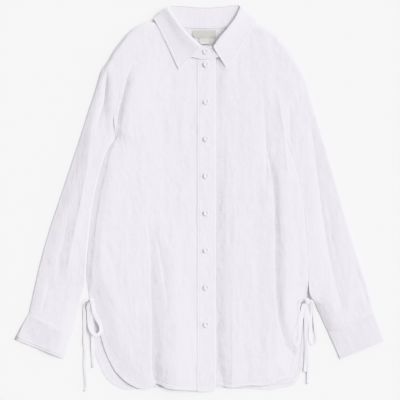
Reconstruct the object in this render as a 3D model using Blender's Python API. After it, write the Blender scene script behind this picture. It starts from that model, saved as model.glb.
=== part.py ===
"""A linen shirt blouse laid flat on a surface, its front up and its sleeves beside it.

The body is a flattened tube: one back panel on the surface and two fronts over it, which meet it
at the shoulders and sides. Each sleeve and cuff is a flattened ring. The collar stand and the
turned-down leaf run round the neck, over the fronts and under the back.

x runs across the garment with the wearer's left at +x, y runs from hem to neck, and z is up from
the surface. Every size and table here is in millimetres until a mesh is made. Right and left are
the wearer's, so the right side is at -x.
"""

import bmesh
import bpy
import numpy as np

MM = 0.001

# Walls and gaps
CLOTH = 1.2
TWO_PLY = 2.0
LABEL_WALL = 1.0
SEAM_GAP = 0.3
RIDE = 0.45
LEAF_CLEARANCE = 1.6

# How high the upper cloth lies: low in the middle, at its hems and free edges, higher at the sides
MIDDLE_HEIGHT = 5.0
SIDE_HEIGHT = 7.0
MIDDLE_REACH = 55.0
SIDE_REACH = 150.0
LOWEST_TOP = 2.4
FREE_EDGE_SHARE = 0.4
FREE_EDGE_REACH = 45.0

# The rounded folds at the shoulders, sides and sleeve edges
ROLL_TOP = 8.0
ROLL_BELOW = 5.0
BACK_EDGE_HEIGHT = 2.2
EDGE_STEP = 1.6
TUBE_EDGE_HEIGHT = 3.2

# The back rises over the collar leaf that lies under it
NECK_LIFT = 3.4
NECK_LIFT_REACH = 32.0
NECK_EDGE_LIFT = 1.8

# The front opening: right front over left front
CENTRE_X = 14.0
PLACKET_WIDTH = 36.0
PLACKET_TOP_Y = 281.5
PLACKET_OVERHANG = 0.4
FREE_EDGE_X = 32.0
OPENING_Y = (282.0, 120.0, -194.0)
LAP_DROP = 2.1
LAP_END_X = 33.0
LAP_FADE = 12.0

# Buttons down the placket; the profile's rows are shares of the radius and of the thickness
BUTTON_DIAMETER = 11.0
BUTTON_THICKNESS = 2.2
BUTTON_COUNT = 8
FIRST_BUTTON_Y = 269.5
BUTTON_SPACING = 74.3
STAND_BUTTON_X = 13.0
BUTTON_PROFILE = [(0, 0.62), (0.5, 0.66), (0.72, 1), (0.92, 1), (1, 0.55), (0.86, 0), (0, 0)]

CUFF_HEIGHT = 6.0

# The narrow flat cord of the side ties
CORD_WIDTH = 3.6
CORD_POINT_WIDTHS = 2.5

# Outlines of the pattern pieces as they lie, each point as x, y
SHOULDER_RIGHT = [
    (-182, 278), (-171, 298), (-156, 318), (-138, 338), (-120, 350), (-104, 356), (-90, 354.5),
    (-76.5, 348.5),
]
SHOULDER_LEFT = [
    (99.5, 347.5), (113.5, 349.5), (127.5, 348.5), (145.5, 338), (159.5, 328), (175.5, 308.5), (189.5, 289.5),
    (205.5, 261.5),
]
ARMHOLE_RIGHT = [(-182, 278), (-174, 238), (-172, 198), (-172, 158), (-169.5, 120.5)]
ARMHOLE_LEFT = [(205.5, 261.5), (188.5, 228.5), (179.5, 190.5), (175.5, 154.5), (174.5, 118.5)]
SIDE_RIGHT = [
    (-169.5, 120.5), (-180, 100.5), (-190.5, 72.5), (-201, 34.5), (-208.7, -1.5), (-214.5, -51.5),
    (-218.5, -101.5), (-221, -151.5), (-220, -193.5),
]
SIDE_LEFT = [
    (174.5, 118.5), (180.5, 98.5), (187, 77), (196.5, 38.5), (204, -1.5), (209.7, -51.5), (213, -101.5),
    (215, -151.5), (216.5, -193.5),
]
NECK_BACK = [
    (-76.5, 348.5), (-54.5, 346.5), (-24.5, 344), (11.5, 343), (47.5, 344), (77.5, 346.5), (99.5, 347.5),
]
NECK_FRONT_RIGHT = [(-76.5, 348.5), (-66.5, 333.5), (-48.5, 308.5), (-23.5, 290.5), (3.5, 282), (32, 282)]
NECK_FRONT_LEFT = [(-3.5, 282), (24, 282.5), (51.5, 293.5), (75.5, 311.5), (91.5, 331.5), (99.5, 347.5)]
SLIT_FRONT_RIGHT = [
    (-220, -193.5), (-215.5, -207.5), (-206.5, -237.5), (-197, -272), (-186.5, -307.5), (-168, -344.5),
]
SLIT_FRONT_LEFT = [
    (216.5, -193.5), (212.5, -206.5), (207.5, -241.5), (201.5, -277.5), (195.5, -305.5), (192, -329.5),
    (189.5, -345.5),
]
SLIT_BACK_RIGHT = [
    (-220, -193.5), (-219.5, -211.5), (-217.5, -237.5), (-214.5, -261.5), (-210, -303), (-198.5, -333.5),
]
SLIT_BACK_LEFT = [
    (216.5, -193.5), (216.5, -211.5), (213.5, -251.5), (210.5, -291.5), (207.5, -321.5), (203.5, -345.5),
]
HEM_FRONT_RIGHT = [
    (-168, -344.5), (-143, -367.5), (-116.5, -379), (-100.5, -377.5), (-84.5, -370), (-62.5, -378),
    (-32.5, -381), (0, -382.5), (32, -384),
]
HEM_FRONT_LEFT = [
    (-3.5, -373.5), (36.5, -371.5), (61.5, -377), (97.5, -372.7), (125.5, -372.5), (147.5, -367.5),
    (169.5, -359.5), (183.5, -354.5), (189.5, -345.5),
]
HEM_BACK = [
    (-198.5, -333.5), (-186.5, -357.5), (-170.5, -371.5), (-148.5, -381.5), (-124.5, -380.5), (-60, -376),
    (20, -377), (71.5, -379), (121.5, -381.5), (141.5, -383), (161.5, -378.5), (183.5, -374.5),
    (195.5, -365.5), (203.5, -345.5),
]

# The outer and inner edges of the sleeves and cuffs as they lie
SLEEVE_RIGHT_OUTER = [
    (-182, 278), (-196, 258), (-208, 218), (-222, 176), (-240, 118), (-260, 58), (-280, -2), (-300, -62),
    (-318, -126), (-330, -178), (-341.3, -228.7),
]
SLEEVE_RIGHT_INNER = [
    (-169.5, 120.5), (-183.3, 100.5), (-193.9, 74.5), (-204.5, 36.5), (-212.1, 0.5), (-218.5, -43.5),
    (-223.3, -87.5), (-226.9, -131.5), (-229.7, -171.5), (-240.5, -209.5), (-254.9, -272.9),
]
SLEEVE_LEFT_OUTER = [
    (205.5, 261.5), (213.5, 248.5), (223.5, 214.5), (235.5, 172.5), (251.5, 118.5), (269.5, 58.5),
    (286.5, -1.5), (303.5, -61.5), (322.5, -121.5), (338.5, -171.5), (352.9, -227.5),
]
SLEEVE_LEFT_INNER = [
    (174.5, 118.5), (183.5, 97.5), (192.1, 68.5), (201.1, 32.5), (208.5, -7.5), (213.9, -49.5),
    (217.3, -91.5), (219.1, -133.5), (221.5, -173.5), (233.5, -213.5), (258.7, -267.5),
]
CUFF_RIGHT_OUTER = [(-341.3, -228.7), (-356, -254), (-369.9, -280.1)]
CUFF_RIGHT_INNER = [(-254.9, -272.9), (-264, -296), (-271.3, -319.1)]
CUFF_LEFT_OUTER = [(352.9, -227.5), (363, -254), (371.9, -281.5)]
CUFF_LEFT_INNER = [(258.7, -267.5), (271, -294), (282.1, -320.5)]

# The largest folds: each is a trough that follows its path, with a width to each side of it.
# The rows of a path are x, y and the depth there; a negative depth is a ridge.
FOLD_ROUNDING = 2.0
FOLDS = {
    "right_front_trough": {
        "left_width": 6, "right_width": 22,
        "path": [
            (-103, -10, 0), (-101, -60, 3), (-97, -130, 3.4), (-96, -202, 3.8), (-92, -290, 3.8),
            (-86, -385, 3.6),
        ],
    },
    "beside_placket": {
        "left_width": 6, "right_width": 13,
        "path": [
            (44, 90, 0), (45, 0, 1.6), (45, -90, 2.2), (45, -200, 2.4), (40, -300, 2.4), (39, -385, 2.2),
        ],
    },
    "left_front_trough": {
        "left_width": 7, "right_width": 16,
        "path": [
            (137, 260, 0), (137, 200, 2.2), (136, 120, 3.6), (143, 92, 3.8), (157, 58, 3.8), (155.5, -52, 4),
            (153.5, -125, 4), (159.5, -207, 4), (165.5, -253, 4), (173.5, -298, 3.4), (190, -330, 1.5),
        ],
    },
    "right_chest_trough": {
        "left_width": 4, "right_width": 12,
        "path": [
            (-138.5, 272, 0), (-145, 240, 2.6), (-151.5, 211.5, 3.6), (-162, 171, 3.8), (-169, 138, 3.4),
            (-172, 112, 2),
        ],
    },
    "right_cap_trough": {
        "left_width": 4, "right_width": 10,
        "path": [
            (-178.5, 292, 0), (-183, 258, 3.2), (-187.5, 229.5, 3.8), (-191.3, 192.5, 2.8), (-202.5, 140, 0),
        ],
    },
    "right_sleeve_trough": {
        "left_width": 6, "right_width": 14,
        "path": [
            (-200, 170, 0), (-214, 110, 2.4), (-226, 40, 3.4), (-248.5, -61.5, 3.4), (-266, -130, 2.6),
            (-280, -190, 0),
        ],
    },
    "left_sleeve_trough": {
        "left_width": 7, "right_width": 14,
        "path": [
            (186, 175, 0), (203, 100, 2.6), (222, 20, 3.4), (245.5, -51.5, 3.8), (263, -140, 2.8),
            (274, -200, 0),
        ],
    },
    "left_sleeve_ridge": {
        "left_width": 12, "right_width": 12,
        "path": [(206, 245, 0), (222, 160, -1.2), (245, 48, -1.8), (272, -100, -1.4), (290, -180, 0)],
    },
}

# Sections round the collar, from the wearer's right front end to the left one. Each row gives the
# stand's seam and top edge, then the leaf's middle and free edge, each as x, y, z.
COLLAR_SECTIONS = [
    ("right_end", (3.5, 285.5, 8.9), (3.5, 306, 16.2), (-18.5, 283, 15), (-40.5, 258.5, 10)),
    ("right_front", (-23.5, 293.5, 8.2), (-14.5, 321.5, 20), (-37.5, 307, 18), (-55.5, 290.5, 8.6)),
    ("right_middle", (-48.5, 312, 8.2), (-33.5, 342.5, 22), (-54.5, 334.5, 18.5), (-71.5, 323.5, 8.6)),
    ("right_side", (-65.5, 336, 8.2), (-50.5, 365.5, 19), (-69, 359.5, 15.5), (-84.5, 348.5, 8.8)),
    ("right_shoulder", (-75.5, 350.5, 7.9), (-60.5, 383, 12.5), (-78, 374.5, 8.5), (-90.5, 361.5, 5)),
    ("right_under", (-66.5, 348.5, 7), (-51.5, 386, 12.4), (-69.5, 370.5, 4.6), (-82.5, 354, 1.05)),
    ("right_back", (-54.5, 346, 6.1), (-38.5, 386, 12.5), (-50.5, 364.5, 4.2), (-61.5, 342.5, 1)),
    ("right_centre", (-24.5, 343.5, 6), (-15.5, 384, 12.5), (-19.5, 361.5, 4.2), (-24.5, 338.5, 1)),
    ("centre_back", (11.5, 342, 6), (11.5, 382.5, 12.5), (11.5, 360.5, 4.2), (11.5, 336.5, 1)),
    ("left_centre", (47.5, 343.5, 6), (39.5, 384, 12.5), (43.5, 361.5, 4.2), (47.5, 338.5, 1)),
    ("left_back", (77.5, 346, 6.1), (62.5, 386.5, 12.5), (73.5, 364.5, 4.2), (84.5, 342.5, 1)),
    ("left_under", (89.5, 348.5, 7), (73.5, 387.5, 12.7), (90.5, 370, 4.6), (105.5, 353, 1.05)),
    ("left_shoulder", (98.5, 350.5, 7.9), (80.5, 386.5, 12.8), (97, 372.5, 8.5), (114, 356.5, 5)),
    ("left_side", (90.5, 334.5, 8.2), (74.5, 367.5, 21), (91.5, 358.5, 16), (106.5, 344.5, 8.8)),
    ("left_middle", (74.5, 314.5, 8.2), (58.5, 344.5, 22), (76.5, 333.5, 18.5), (91.5, 318.5, 8.6)),
    ("left_front", (51.5, 296.5, 8.2), (40.5, 323, 19), (59.5, 308.5, 17), (75.5, 290.5, 8.6)),
    ("left_end", (28, 285.5, 6.4), (28, 306, 13.6), (40.5, 285, 13.6), (53.5, 264.5, 10)),
]
STAND_TIP_RIGHT = {"seam": (25, 285.5, 8.9), "top": (25, 305.5, 16.2)}
STAND_TIP_LEFT = {"seam": (1.5, 285.5, 6.4), "top": (1.5, 306, 13.3)}

# The labels on the inside of the back: the lowest and highest x and y of each
NECK_LABEL = {"x": (-13, 33), "y": (323, 338)}
SIZE_LABEL = {"x": (0, 19.5), "y": (310, 322.4)}

# The knots of the side ties: centre and half sizes
KNOT_RIGHT = {"centre": (-216.5, -203, 8.7), "half": (5, 5.5, 3.6)}
KNOT_LEFT = {"centre": (214.5, -204, 8.4), "half": (5, 5.5, 3.6)}

# The routes of the loops and free tails, from the knot on, each point as x, y, z
CORD_ROUTES = {
    "tie_right_loop": [
        (-220.4, -208.2, 9.6), (-222, -214, 7.4), (-222.2, -223, 5), (-221.2, -243, 3.9), (-218.5, -257, 5.8),
        (-213, -267, 7.9), (-206, -271.5, 7.4), (-199.5, -268.5, 7.4), (-196, -260, 7.5), (-198.5, -250, 7.5),
        (-205, -240, 7.5), (-210, -226, 7.5), (-212, -214.5, 8.6), (-212.5, -208.3, 9.6),
    ],
    "tie_right_tail_front": [
        (-216.5, -208.9, 7.8), (-216.6, -214.5, 5.8), (-216, -227, 3.9), (-215.8, -240, 3.4),
        (-214.5, -262, 3.3), (-213.2, -290, 3.3), (-213.5, -318, 2.4), (-212, -336, 2),
    ],
    "tie_right_tail_back": [
        (-222.4, -204.5, 8.1), (-226.8, -207.5, 5.4), (-230, -216, 2.8), (-230.5, -230, 2), (-229.5, -252, 2),
        (-228.5, -291, 2), (-229.5, -330, 2), (-228, -360, 2), (-227.5, -384, 2),
    ],
    "tie_left_loop_inner": [
        (208.3, -202.8, 9.6), (204.5, -203.8, 8.7), (200, -209, 7.6), (197.8, -220, 7.4), (198, -236, 7.4),
        (193, -252, 7.3), (187, -266, 7.2), (186.5, -282, 7), (192.5, -291.5, 6.9), (198.5, -286, 6.9),
        (199.5, -270, 7), (201, -250, 7.2), (204.5, -230, 7.3), (207, -216, 8.1), (208.8, -208.3, 9.3),
    ],
    "tie_left_loop_outer": [
        (221, -202.8, 7.6), (225, -205.5, 6.2), (228, -215, 3.6), (230.5, -236, 2), (233.5, -260, 2),
        (233.5, -281, 2), (228.5, -290.5, 2), (223, -284, 2), (222, -268, 2), (223, -246, 2.2),
        (222.3, -228, 3.7), (221.9, -215, 7.3), (220.7, -208.2, 10.1),
    ],
    "tie_left_tail_long": [
        (216.3, -210, 7.5), (216.6, -217, 5.4), (216.4, -230, 3.5), (215.8, -252, 3), (216.5, -272, 2.1),
        (216, -300, 2), (216, -330, 2), (217, -350, 2), (218, -369, 2),
    ],
    "tie_left_tail_short": [
        (212.3, -209.8, 7.8), (212.2, -217, 6.8), (211.9, -230, 5), (210.5, -252, 3.5), (207, -282, 3.4),
        (204.5, -305, 3.3), (202.5, -325, 3.3), (203.5, -345, 3.3),
    ],
}

# How finely each piece is divided. Shares of a length lie close together where the cloth turns.
CURVE_STEPS = 24
COARSE_STEPS = 6
EDGE_FIRST = (0.0, 0.02, 0.06, 0.14)
RING_SHARES = (0.0, 0.02, 0.065, 0.15, 0.27, 0.4, 0.53, 0.66, 0.79, 0.9, 0.965, 1.0)
RING_BELOW = (0.95, 0.75, 0.5, 0.25, 0.05)
SIDE_ROWS = 9
SLIT_ROWS = 5
NECK_COLUMNS = 8
BACK_SHOULDER_COLUMNS = 5
FRONT_SHOULDER_COLUMNS = 6
PLACKET_ROWS = 27
PLACKET_COLUMNS = 4
SLEEVE_SECTIONS = 17
SLEEVE_CAP_SHARE = 0.45
CUFF_SECTIONS = 5
COLLAR_SECTION_STEPS = 10
COLLAR_STEPS = 50
STAND_ROWS = 3
LEAF_ROWS = 5
LABEL_COLUMNS = 6
LABEL_ROWS = 4
BUTTON_SIDES = 12
KNOT_SIDES = 12
KNOT_RINGS = 8
SHARP_ANGLE = np.radians(50)

# Colours and roughness
MATERIALS = {
    "linen": {"colour": (0.83, 0.82, 0.87), "roughness": 0.85},
    "label": {"colour": (0.80, 0.78, 0.70), "roughness": 0.7},
    "pearl": {"colour": (0.86, 0.86, 0.87), "roughness": 0.3},
}


def smooth_step(value, start, end):
    """0 before start, 1 after end, and a smooth rise between them."""
    share = np.clip((value - start) / (end - start), 0, 1)
    return share * share * (3 - 2 * share)


def smooth_curve(points, steps=CURVE_STEPS):
    """Many points along a smooth curve through the given ones."""
    p = np.array(points, float)
    if len(p) == 2:
        return p[0] + (p[1] - p[0]) * np.linspace(0, 1, steps + 1)[:, None]
    ends = np.vstack([2 * p[0] - p[1], p, 2 * p[-1] - p[-2]])
    knots = np.concatenate([[0], np.cumsum(np.linalg.norm(np.diff(ends, axis=0), axis=1) ** 0.5)])
    out = []
    for i in range(1, len(ends) - 2):
        t = np.linspace(knots[i], knots[i + 1], steps, endpoint=False)[:, None]
        k = knots[i - 1 : i + 3]
        a = ends[i - 1 : i + 3]
        b = [((k[j + 1] - t) * a[j] + (t - k[j]) * a[j + 1]) / (k[j + 1] - k[j]) for j in range(3)]
        c = [((k[j + 2] - t) * b[j] + (t - k[j]) * b[j + 1]) / (k[j + 2] - k[j]) for j in range(2)]
        out.append(((k[2] - t) * c[0] + (t - k[1]) * c[1]) / (k[2] - k[1]))
    return np.vstack(out + [p[-1:]])


def length_along(line):
    """The length of a line of points up to each of them."""
    return np.concatenate([[0], np.cumsum(np.linalg.norm(np.diff(line, axis=0), axis=1))])


def at_shares(curve, shares):
    """Points at these shares of a curve's length."""
    along = length_along(curve)
    at = np.array(shares) * along[-1]
    return np.stack([np.interp(at, along, curve[:, k]) for k in range(curve.shape[1])], axis=1)


def even(count):
    return np.linspace(0, 1, count + 1)


def closer_at_start(count):
    """Shares that start close together, for cloth that turns over there."""
    return np.concatenate([EDGE_FIRST, EDGE_FIRST[-1] + (1 - EDGE_FIRST[-1]) * even(count)[1:]])


def closer_at_end(count):
    return 1 - closer_at_start(count)[::-1]


def closer_at_both(count):
    first = np.array(EDGE_FIRST) / 2
    inner = first[-1] + (1 - 2 * first[-1]) * even(count)[1:-1]
    return np.concatenate([first, inner, 1 - first[::-1]])


def joined(parts):
    """One boundary of several curves, each with its own shares."""
    runs = [at_shares(smooth_curve(points), shares) for points, shares in parts]
    return np.vstack([runs[0]] + [run[1:] for run in runs[1:]])


def filled(top, bottom, left, right):
    """A grid of points between four boundaries; rows run from top to bottom. The left and right
    boundaries own the corners."""
    top[0], top[-1] = left[0], right[0]
    bottom[0], bottom[-1] = left[-1], right[-1]
    u = sum(length_along(line) / length_along(line)[-1] for line in (top, bottom)) / 2
    v = sum(length_along(line) / length_along(line)[-1] for line in (left, right)) / 2
    u, v = u[None, :, None], v[:, None, None]
    between_sides = (1 - u) * left[:, None] + u * right[:, None]
    between_ends = (1 - v) * top[None] + v * bottom[None]
    corners = (1 - v) * ((1 - u) * top[0] + u * top[-1]) + v * ((1 - u) * bottom[0] + u * bottom[-1])
    return between_sides + between_ends - corners


def distance_to(x, y, lines):
    """How far each point lies from the nearest of these lines, seen from above."""
    best = np.full(np.shape(x), np.inf)
    for line in lines:
        for a, b in zip(line[:-1], line[1:]):
            d = b - a
            t = np.clip(((x - a[0]) * d[0] + (y - a[1]) * d[1]) / max(d @ d, 1e-9), 0, 1)
            best = np.minimum(best, np.hypot(x - a[0] - t * d[0], y - a[1] - t * d[1]))
    return best


def coarse(lines):
    """These outlines as smooth curves with fewer points, for measuring distances."""
    return [smooth_curve(line, COARSE_STEPS) for line in lines]


def fold_depth(x, y):
    """The depth of the largest folds at each point."""
    depth = np.zeros(np.shape(x))
    for fold in FOLDS.values():
        px, py, pd = np.array(sorted(fold["path"], key=lambda row: row[1]), float).T
        off = x - np.interp(y, py, px)
        width = np.where(off < 0, fold["left_width"], fold["right_width"])
        across = np.exp(-(np.sqrt(off * off + FOLD_ROUNDING**2) - FOLD_ROUNDING) / width)
        depth += across * np.interp(y, py, pd, left=0, right=0)
    return depth


def top_height(x, y):
    """The height of the upper cloth's middle surface, away from its edges."""
    rise = smooth_step(np.abs(x - CENTRE_X), MIDDLE_REACH, SIDE_REACH)
    return MIDDLE_HEIGHT + (SIDE_HEIGHT - MIDDLE_HEIGHT) * rise - fold_depth(x, y)


def roll(distance, reach):
    """0 on a folded edge and 1 from reach inwards, steep at the edge."""
    return np.sin(np.clip(distance / reach, 0, 1) * np.pi / 2)


def neck_lift(x, y):
    """1 at the back neck seam and 0 from a hand's breadth below it."""
    return 1 - smooth_step(distance_to(x, y, coarse([NECK_BACK])), 0, NECK_LIFT_REACH)


def back_bed(x, y):
    """The back away from its sewn edges: flat on the surface, and over the collar leaf."""
    return CLOTH / 2 + NECK_LIFT * neck_lift(x, y)


def back_height(x, y, closed_edges):
    """The back's middle surface, which turns up at its sewn edges."""
    edge = BACK_EDGE_HEIGHT + NECK_EDGE_LIFT * neck_lift(x, y)
    return edge + (back_bed(x, y) - edge) * roll(distance_to(x, y, closed_edges), ROLL_BELOW)


def front_height(x, y, closed_edges, free_edges, side):
    """A front's middle surface; the left front dips under the right one at the opening."""
    settled = FREE_EDGE_SHARE + (1 - FREE_EDGE_SHARE) * smooth_step(
        distance_to(x, y, free_edges), 0, FREE_EDGE_REACH
    )
    height = LOWEST_TOP + (top_height(x, y) - LOWEST_TOP) * settled
    lap = LAP_DROP * (1 - smooth_step(x, LAP_END_X, LAP_END_X + LAP_FADE))
    if side == "left":
        height = np.maximum(height - lap, LOWEST_TOP)
    else:
        height = np.maximum(height, LOWEST_TOP + lap)
    edge = BACK_EDGE_HEIGHT + EDGE_STEP + NECK_EDGE_LIFT * neck_lift(x, y)
    return edge + (height - edge) * roll(distance_to(x, y, closed_edges), ROLL_TOP)


def grid_normals(grid, ring):
    """Unit normals of a grid of points; a ring's columns join up."""
    if ring:
        across = np.roll(grid, -1, axis=1) - np.roll(grid, 1, axis=1)
    else:
        across = np.gradient(grid, axis=1)
    down = np.gradient(grid, axis=0)
    normal = np.cross(across, down)
    return normal / np.maximum(np.linalg.norm(normal, axis=2, keepdims=True), 1e-9)


def new_object(name, bm, material):
    """A named object from a bmesh, closed, facing out and shaded smooth."""
    bmesh.ops.recalc_face_normals(bm, faces=bm.faces)
    mesh = bpy.data.meshes.new(name)
    bm.to_mesh(mesh)
    bm.free()
    mesh.shade_smooth()
    mesh.set_sharp_from_angle(angle=SHARP_ANGLE)
    mesh.materials.append(material)
    thing = bpy.data.objects.new(name, mesh)
    bpy.context.collection.objects.link(thing)
    return thing


def wall_solid(name, grid, wall, material, ring=False, plumb=None):
    """A cloth wall about a grid of middle points. plumb names edges whose end faces stay upright in
    the seam's own plane, each with the horizontal direction across that seam."""
    normal = grid_normals(grid, ring)
    rows, columns = grid.shape[:2]
    for edge, across in (plumb or {}).items():
        row = {"first": 0, "last": -1}[edge]
        axis = np.array([across[0], across[1], 0.0])
        axis /= np.linalg.norm(axis)
        kept = normal[row] - (normal[row] @ axis)[:, None] * axis
        normal[row] = kept / np.linalg.norm(kept, axis=1, keepdims=True)
    bm = bmesh.new()
    sheets = []
    for side in (0.5, -0.5):
        points = (grid + normal * wall * side) * MM
        sheets.append([[bm.verts.new(points[i, j]) for j in range(columns)] for i in range(rows)])
    outer, inner = sheets
    last = columns if ring else columns - 1
    for i in range(rows - 1):
        for j in range(last):
            k = (j + 1) % columns
            bm.faces.new((outer[i][j], outer[i][k], outer[i + 1][k], outer[i + 1][j]))
            bm.faces.new((inner[i][j], inner[i + 1][j], inner[i + 1][k], inner[i][k]))
    for i in (0, rows - 1):
        for j in range(last):
            k = (j + 1) % columns
            bm.faces.new((outer[i][j], inner[i][j], inner[i][k], outer[i][k]))
    if not ring:
        for j in (0, columns - 1):
            for i in range(rows - 1):
                bm.faces.new((outer[i][j], outer[i + 1][j], inner[i + 1][j], inner[i][j]))
    return new_object(name, bm, material)


def with_height(flat, height):
    return np.concatenate([flat, height[..., None]], axis=2)


def chord_across(line):
    """The horizontal direction across a seam, from its two ends."""
    d = np.array(line[-1], float) - np.array(line[0], float)
    return (-d[1], d[0])


def shifted(line, dx):
    return [(x + dx, y) for x, y in line]


def side_bands():
    """The shares of a panel's rows along its armhole, side seam and slit."""
    return [RING_SHARES, even(SIDE_ROWS), even(SLIT_ROWS)]


def build_back(material):
    top = joined([
        (SHOULDER_RIGHT, closer_at_start(BACK_SHOULDER_COLUMNS)),
        (NECK_BACK, even(NECK_COLUMNS)),
        (SHOULDER_LEFT, closer_at_end(BACK_SHOULDER_COLUMNS)),
    ])
    bottom = joined([(HEM_BACK, closer_at_both(2 * BACK_SHOULDER_COLUMNS + NECK_COLUMNS))])
    left = joined(zip((shifted(ARMHOLE_RIGHT, SEAM_GAP), SIDE_RIGHT, SLIT_BACK_RIGHT), side_bands()))
    right = joined(zip((shifted(ARMHOLE_LEFT, -SEAM_GAP), SIDE_LEFT, SLIT_BACK_LEFT), side_bands()))
    flat = filled(top, bottom, left, right)
    closed = coarse([SHOULDER_RIGHT, SHOULDER_LEFT, SIDE_RIGHT, SIDE_LEFT])
    grid = with_height(flat, back_height(flat[..., 0], flat[..., 1], closed))
    return wall_solid("back", grid, CLOTH, material)


def opening_edge(x, hem_y):
    """The straight free edge of a front, with rows that match its outer side."""
    y = (*OPENING_Y, hem_y)
    return joined(([(x, y[i]), (x, y[i + 1])], band) for i, band in enumerate(side_bands()))


def build_front_right(material):
    outer = joined(zip((shifted(ARMHOLE_RIGHT, SEAM_GAP), SIDE_RIGHT, SLIT_FRONT_RIGHT), side_bands()))
    top = joined([
        (SHOULDER_RIGHT, closer_at_start(FRONT_SHOULDER_COLUMNS)),
        (NECK_FRONT_RIGHT, even(NECK_COLUMNS)),
    ])
    bottom = joined([(HEM_FRONT_RIGHT, closer_at_start(FRONT_SHOULDER_COLUMNS + NECK_COLUMNS))])
    flat = filled(top, bottom, outer, opening_edge(FREE_EDGE_X, HEM_FRONT_RIGHT[-1][1]))
    grid = with_height(flat, right_front_height(flat[..., 0], flat[..., 1]))
    return wall_solid("front_right", grid, CLOTH, material)


def build_front_left(material):
    outer = joined(zip((shifted(ARMHOLE_LEFT, -SEAM_GAP), SIDE_LEFT, SLIT_FRONT_LEFT), side_bands()))
    top = joined([
        (NECK_FRONT_LEFT, even(NECK_COLUMNS)),
        (SHOULDER_LEFT, closer_at_end(FRONT_SHOULDER_COLUMNS)),
    ])
    bottom = joined([(HEM_FRONT_LEFT, closer_at_end(FRONT_SHOULDER_COLUMNS + NECK_COLUMNS))])
    flat = filled(top, bottom, opening_edge(*HEM_FRONT_LEFT[0]), outer)
    closed, free = coarse([SHOULDER_LEFT, SIDE_LEFT]), coarse([SLIT_FRONT_LEFT, HEM_FRONT_LEFT])
    grid = with_height(flat, front_height(flat[..., 0], flat[..., 1], closed, free, "left"))
    return wall_solid("front_left", grid, CLOTH, material)


def right_front_height(x, y):
    """The middle surface of the wearer's right front, which carries the placket and buttons."""
    closed, free = coarse([SHOULDER_RIGHT, SIDE_RIGHT]), coarse([SLIT_FRONT_RIGHT, HEM_FRONT_RIGHT])
    return front_height(x, y, closed, free, "right")


def build_placket(material):
    """The strip on the free edge, made from the front's own surface and moved out."""
    x = FREE_EDGE_X + PLACKET_OVERHANG - PLACKET_WIDTH * (1 - even(PLACKET_COLUMNS))
    y = PLACKET_TOP_Y + (HEM_FRONT_RIGHT[-1][1] - PLACKET_TOP_Y) * even(PLACKET_ROWS)
    flat = np.stack(np.meshgrid(x, y), axis=2)
    height = right_front_height(flat[..., 0], flat[..., 1]) + CLOTH + RIDE
    return wall_solid("placket", with_height(flat, height), CLOTH, material)


def tube_grid(outer, inner, sections, height, bottom, first_line=None):
    """A flattened ring at each section: over the top from the outer edge to the inner, then back
    underneath. first_line bends the first sections to a curved seam."""
    outer_curve, inner_curve = smooth_curve(outer), smooth_curve(inner)
    o, i = at_shares(outer_curve, sections), at_shares(inner_curve, sections)
    shares = np.concatenate([RING_SHARES, RING_BELOW])
    flat = o[:, None] + (i - o)[:, None] * shares[None, :, None]
    if first_line is not None:
        bend = at_shares(smooth_curve(first_line), shares) - flat[0]
        fade = 1 - smooth_step(np.array(sections), 0, SLEEVE_CAP_SHARE)
        flat = flat + bend[None] * fade[:, None, None]
    away = distance_to(flat[..., 0], flat[..., 1], coarse([outer, inner]))
    away[:, [0, len(RING_SHARES) - 1]] = 0
    over = height(flat[..., 0], flat[..., 1])
    z = TUBE_EDGE_HEIGHT + (over - TUBE_EDGE_HEIGHT) * roll(away, ROLL_TOP)
    below = slice(len(RING_SHARES), None)
    z[:, below] = TUBE_EDGE_HEIGHT + (bottom - TUBE_EDGE_HEIGHT) * roll(away[:, below], ROLL_BELOW)
    return with_height(flat, z)


def sleeve_height(x, y):
    return np.maximum(top_height(x, y), LOWEST_TOP)


def cuff_height(x, y):
    return np.full(np.shape(x), CUFF_HEIGHT)


def build_sleeve(name, outer, inner, armhole, away, material):
    """A sleeve whose first ring follows the armhole, a seam's gap away from the body."""
    outer = shifted(outer[:1], away) + outer[1:]
    inner = shifted(inner[:1], away) + inner[1:]
    first_line = shifted(armhole, away)
    grid = tube_grid(outer, inner, even(SLEEVE_SECTIONS), sleeve_height, CLOTH / 2, first_line)
    plumb = {"first": chord_across(armhole), "last": chord_across([outer[-1], inner[-1]])}
    return wall_solid(name, grid, CLOTH, material, ring=True, plumb=plumb)


def build_cuff(name, outer, inner, material):
    start = 2 * SEAM_GAP / np.linalg.norm(np.subtract(outer[-1], outer[0]))
    sections = start + (1 - start) * even(CUFF_SECTIONS)
    grid = tube_grid(outer, inner, sections, cuff_height, TWO_PLY / 2)
    plumb = {
        "first": chord_across([outer[0], inner[0]]),
        "last": chord_across([outer[-1], inner[-1]]),
    }
    return wall_solid(name, grid, TWO_PLY, material, ring=True, plumb=plumb)


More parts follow.
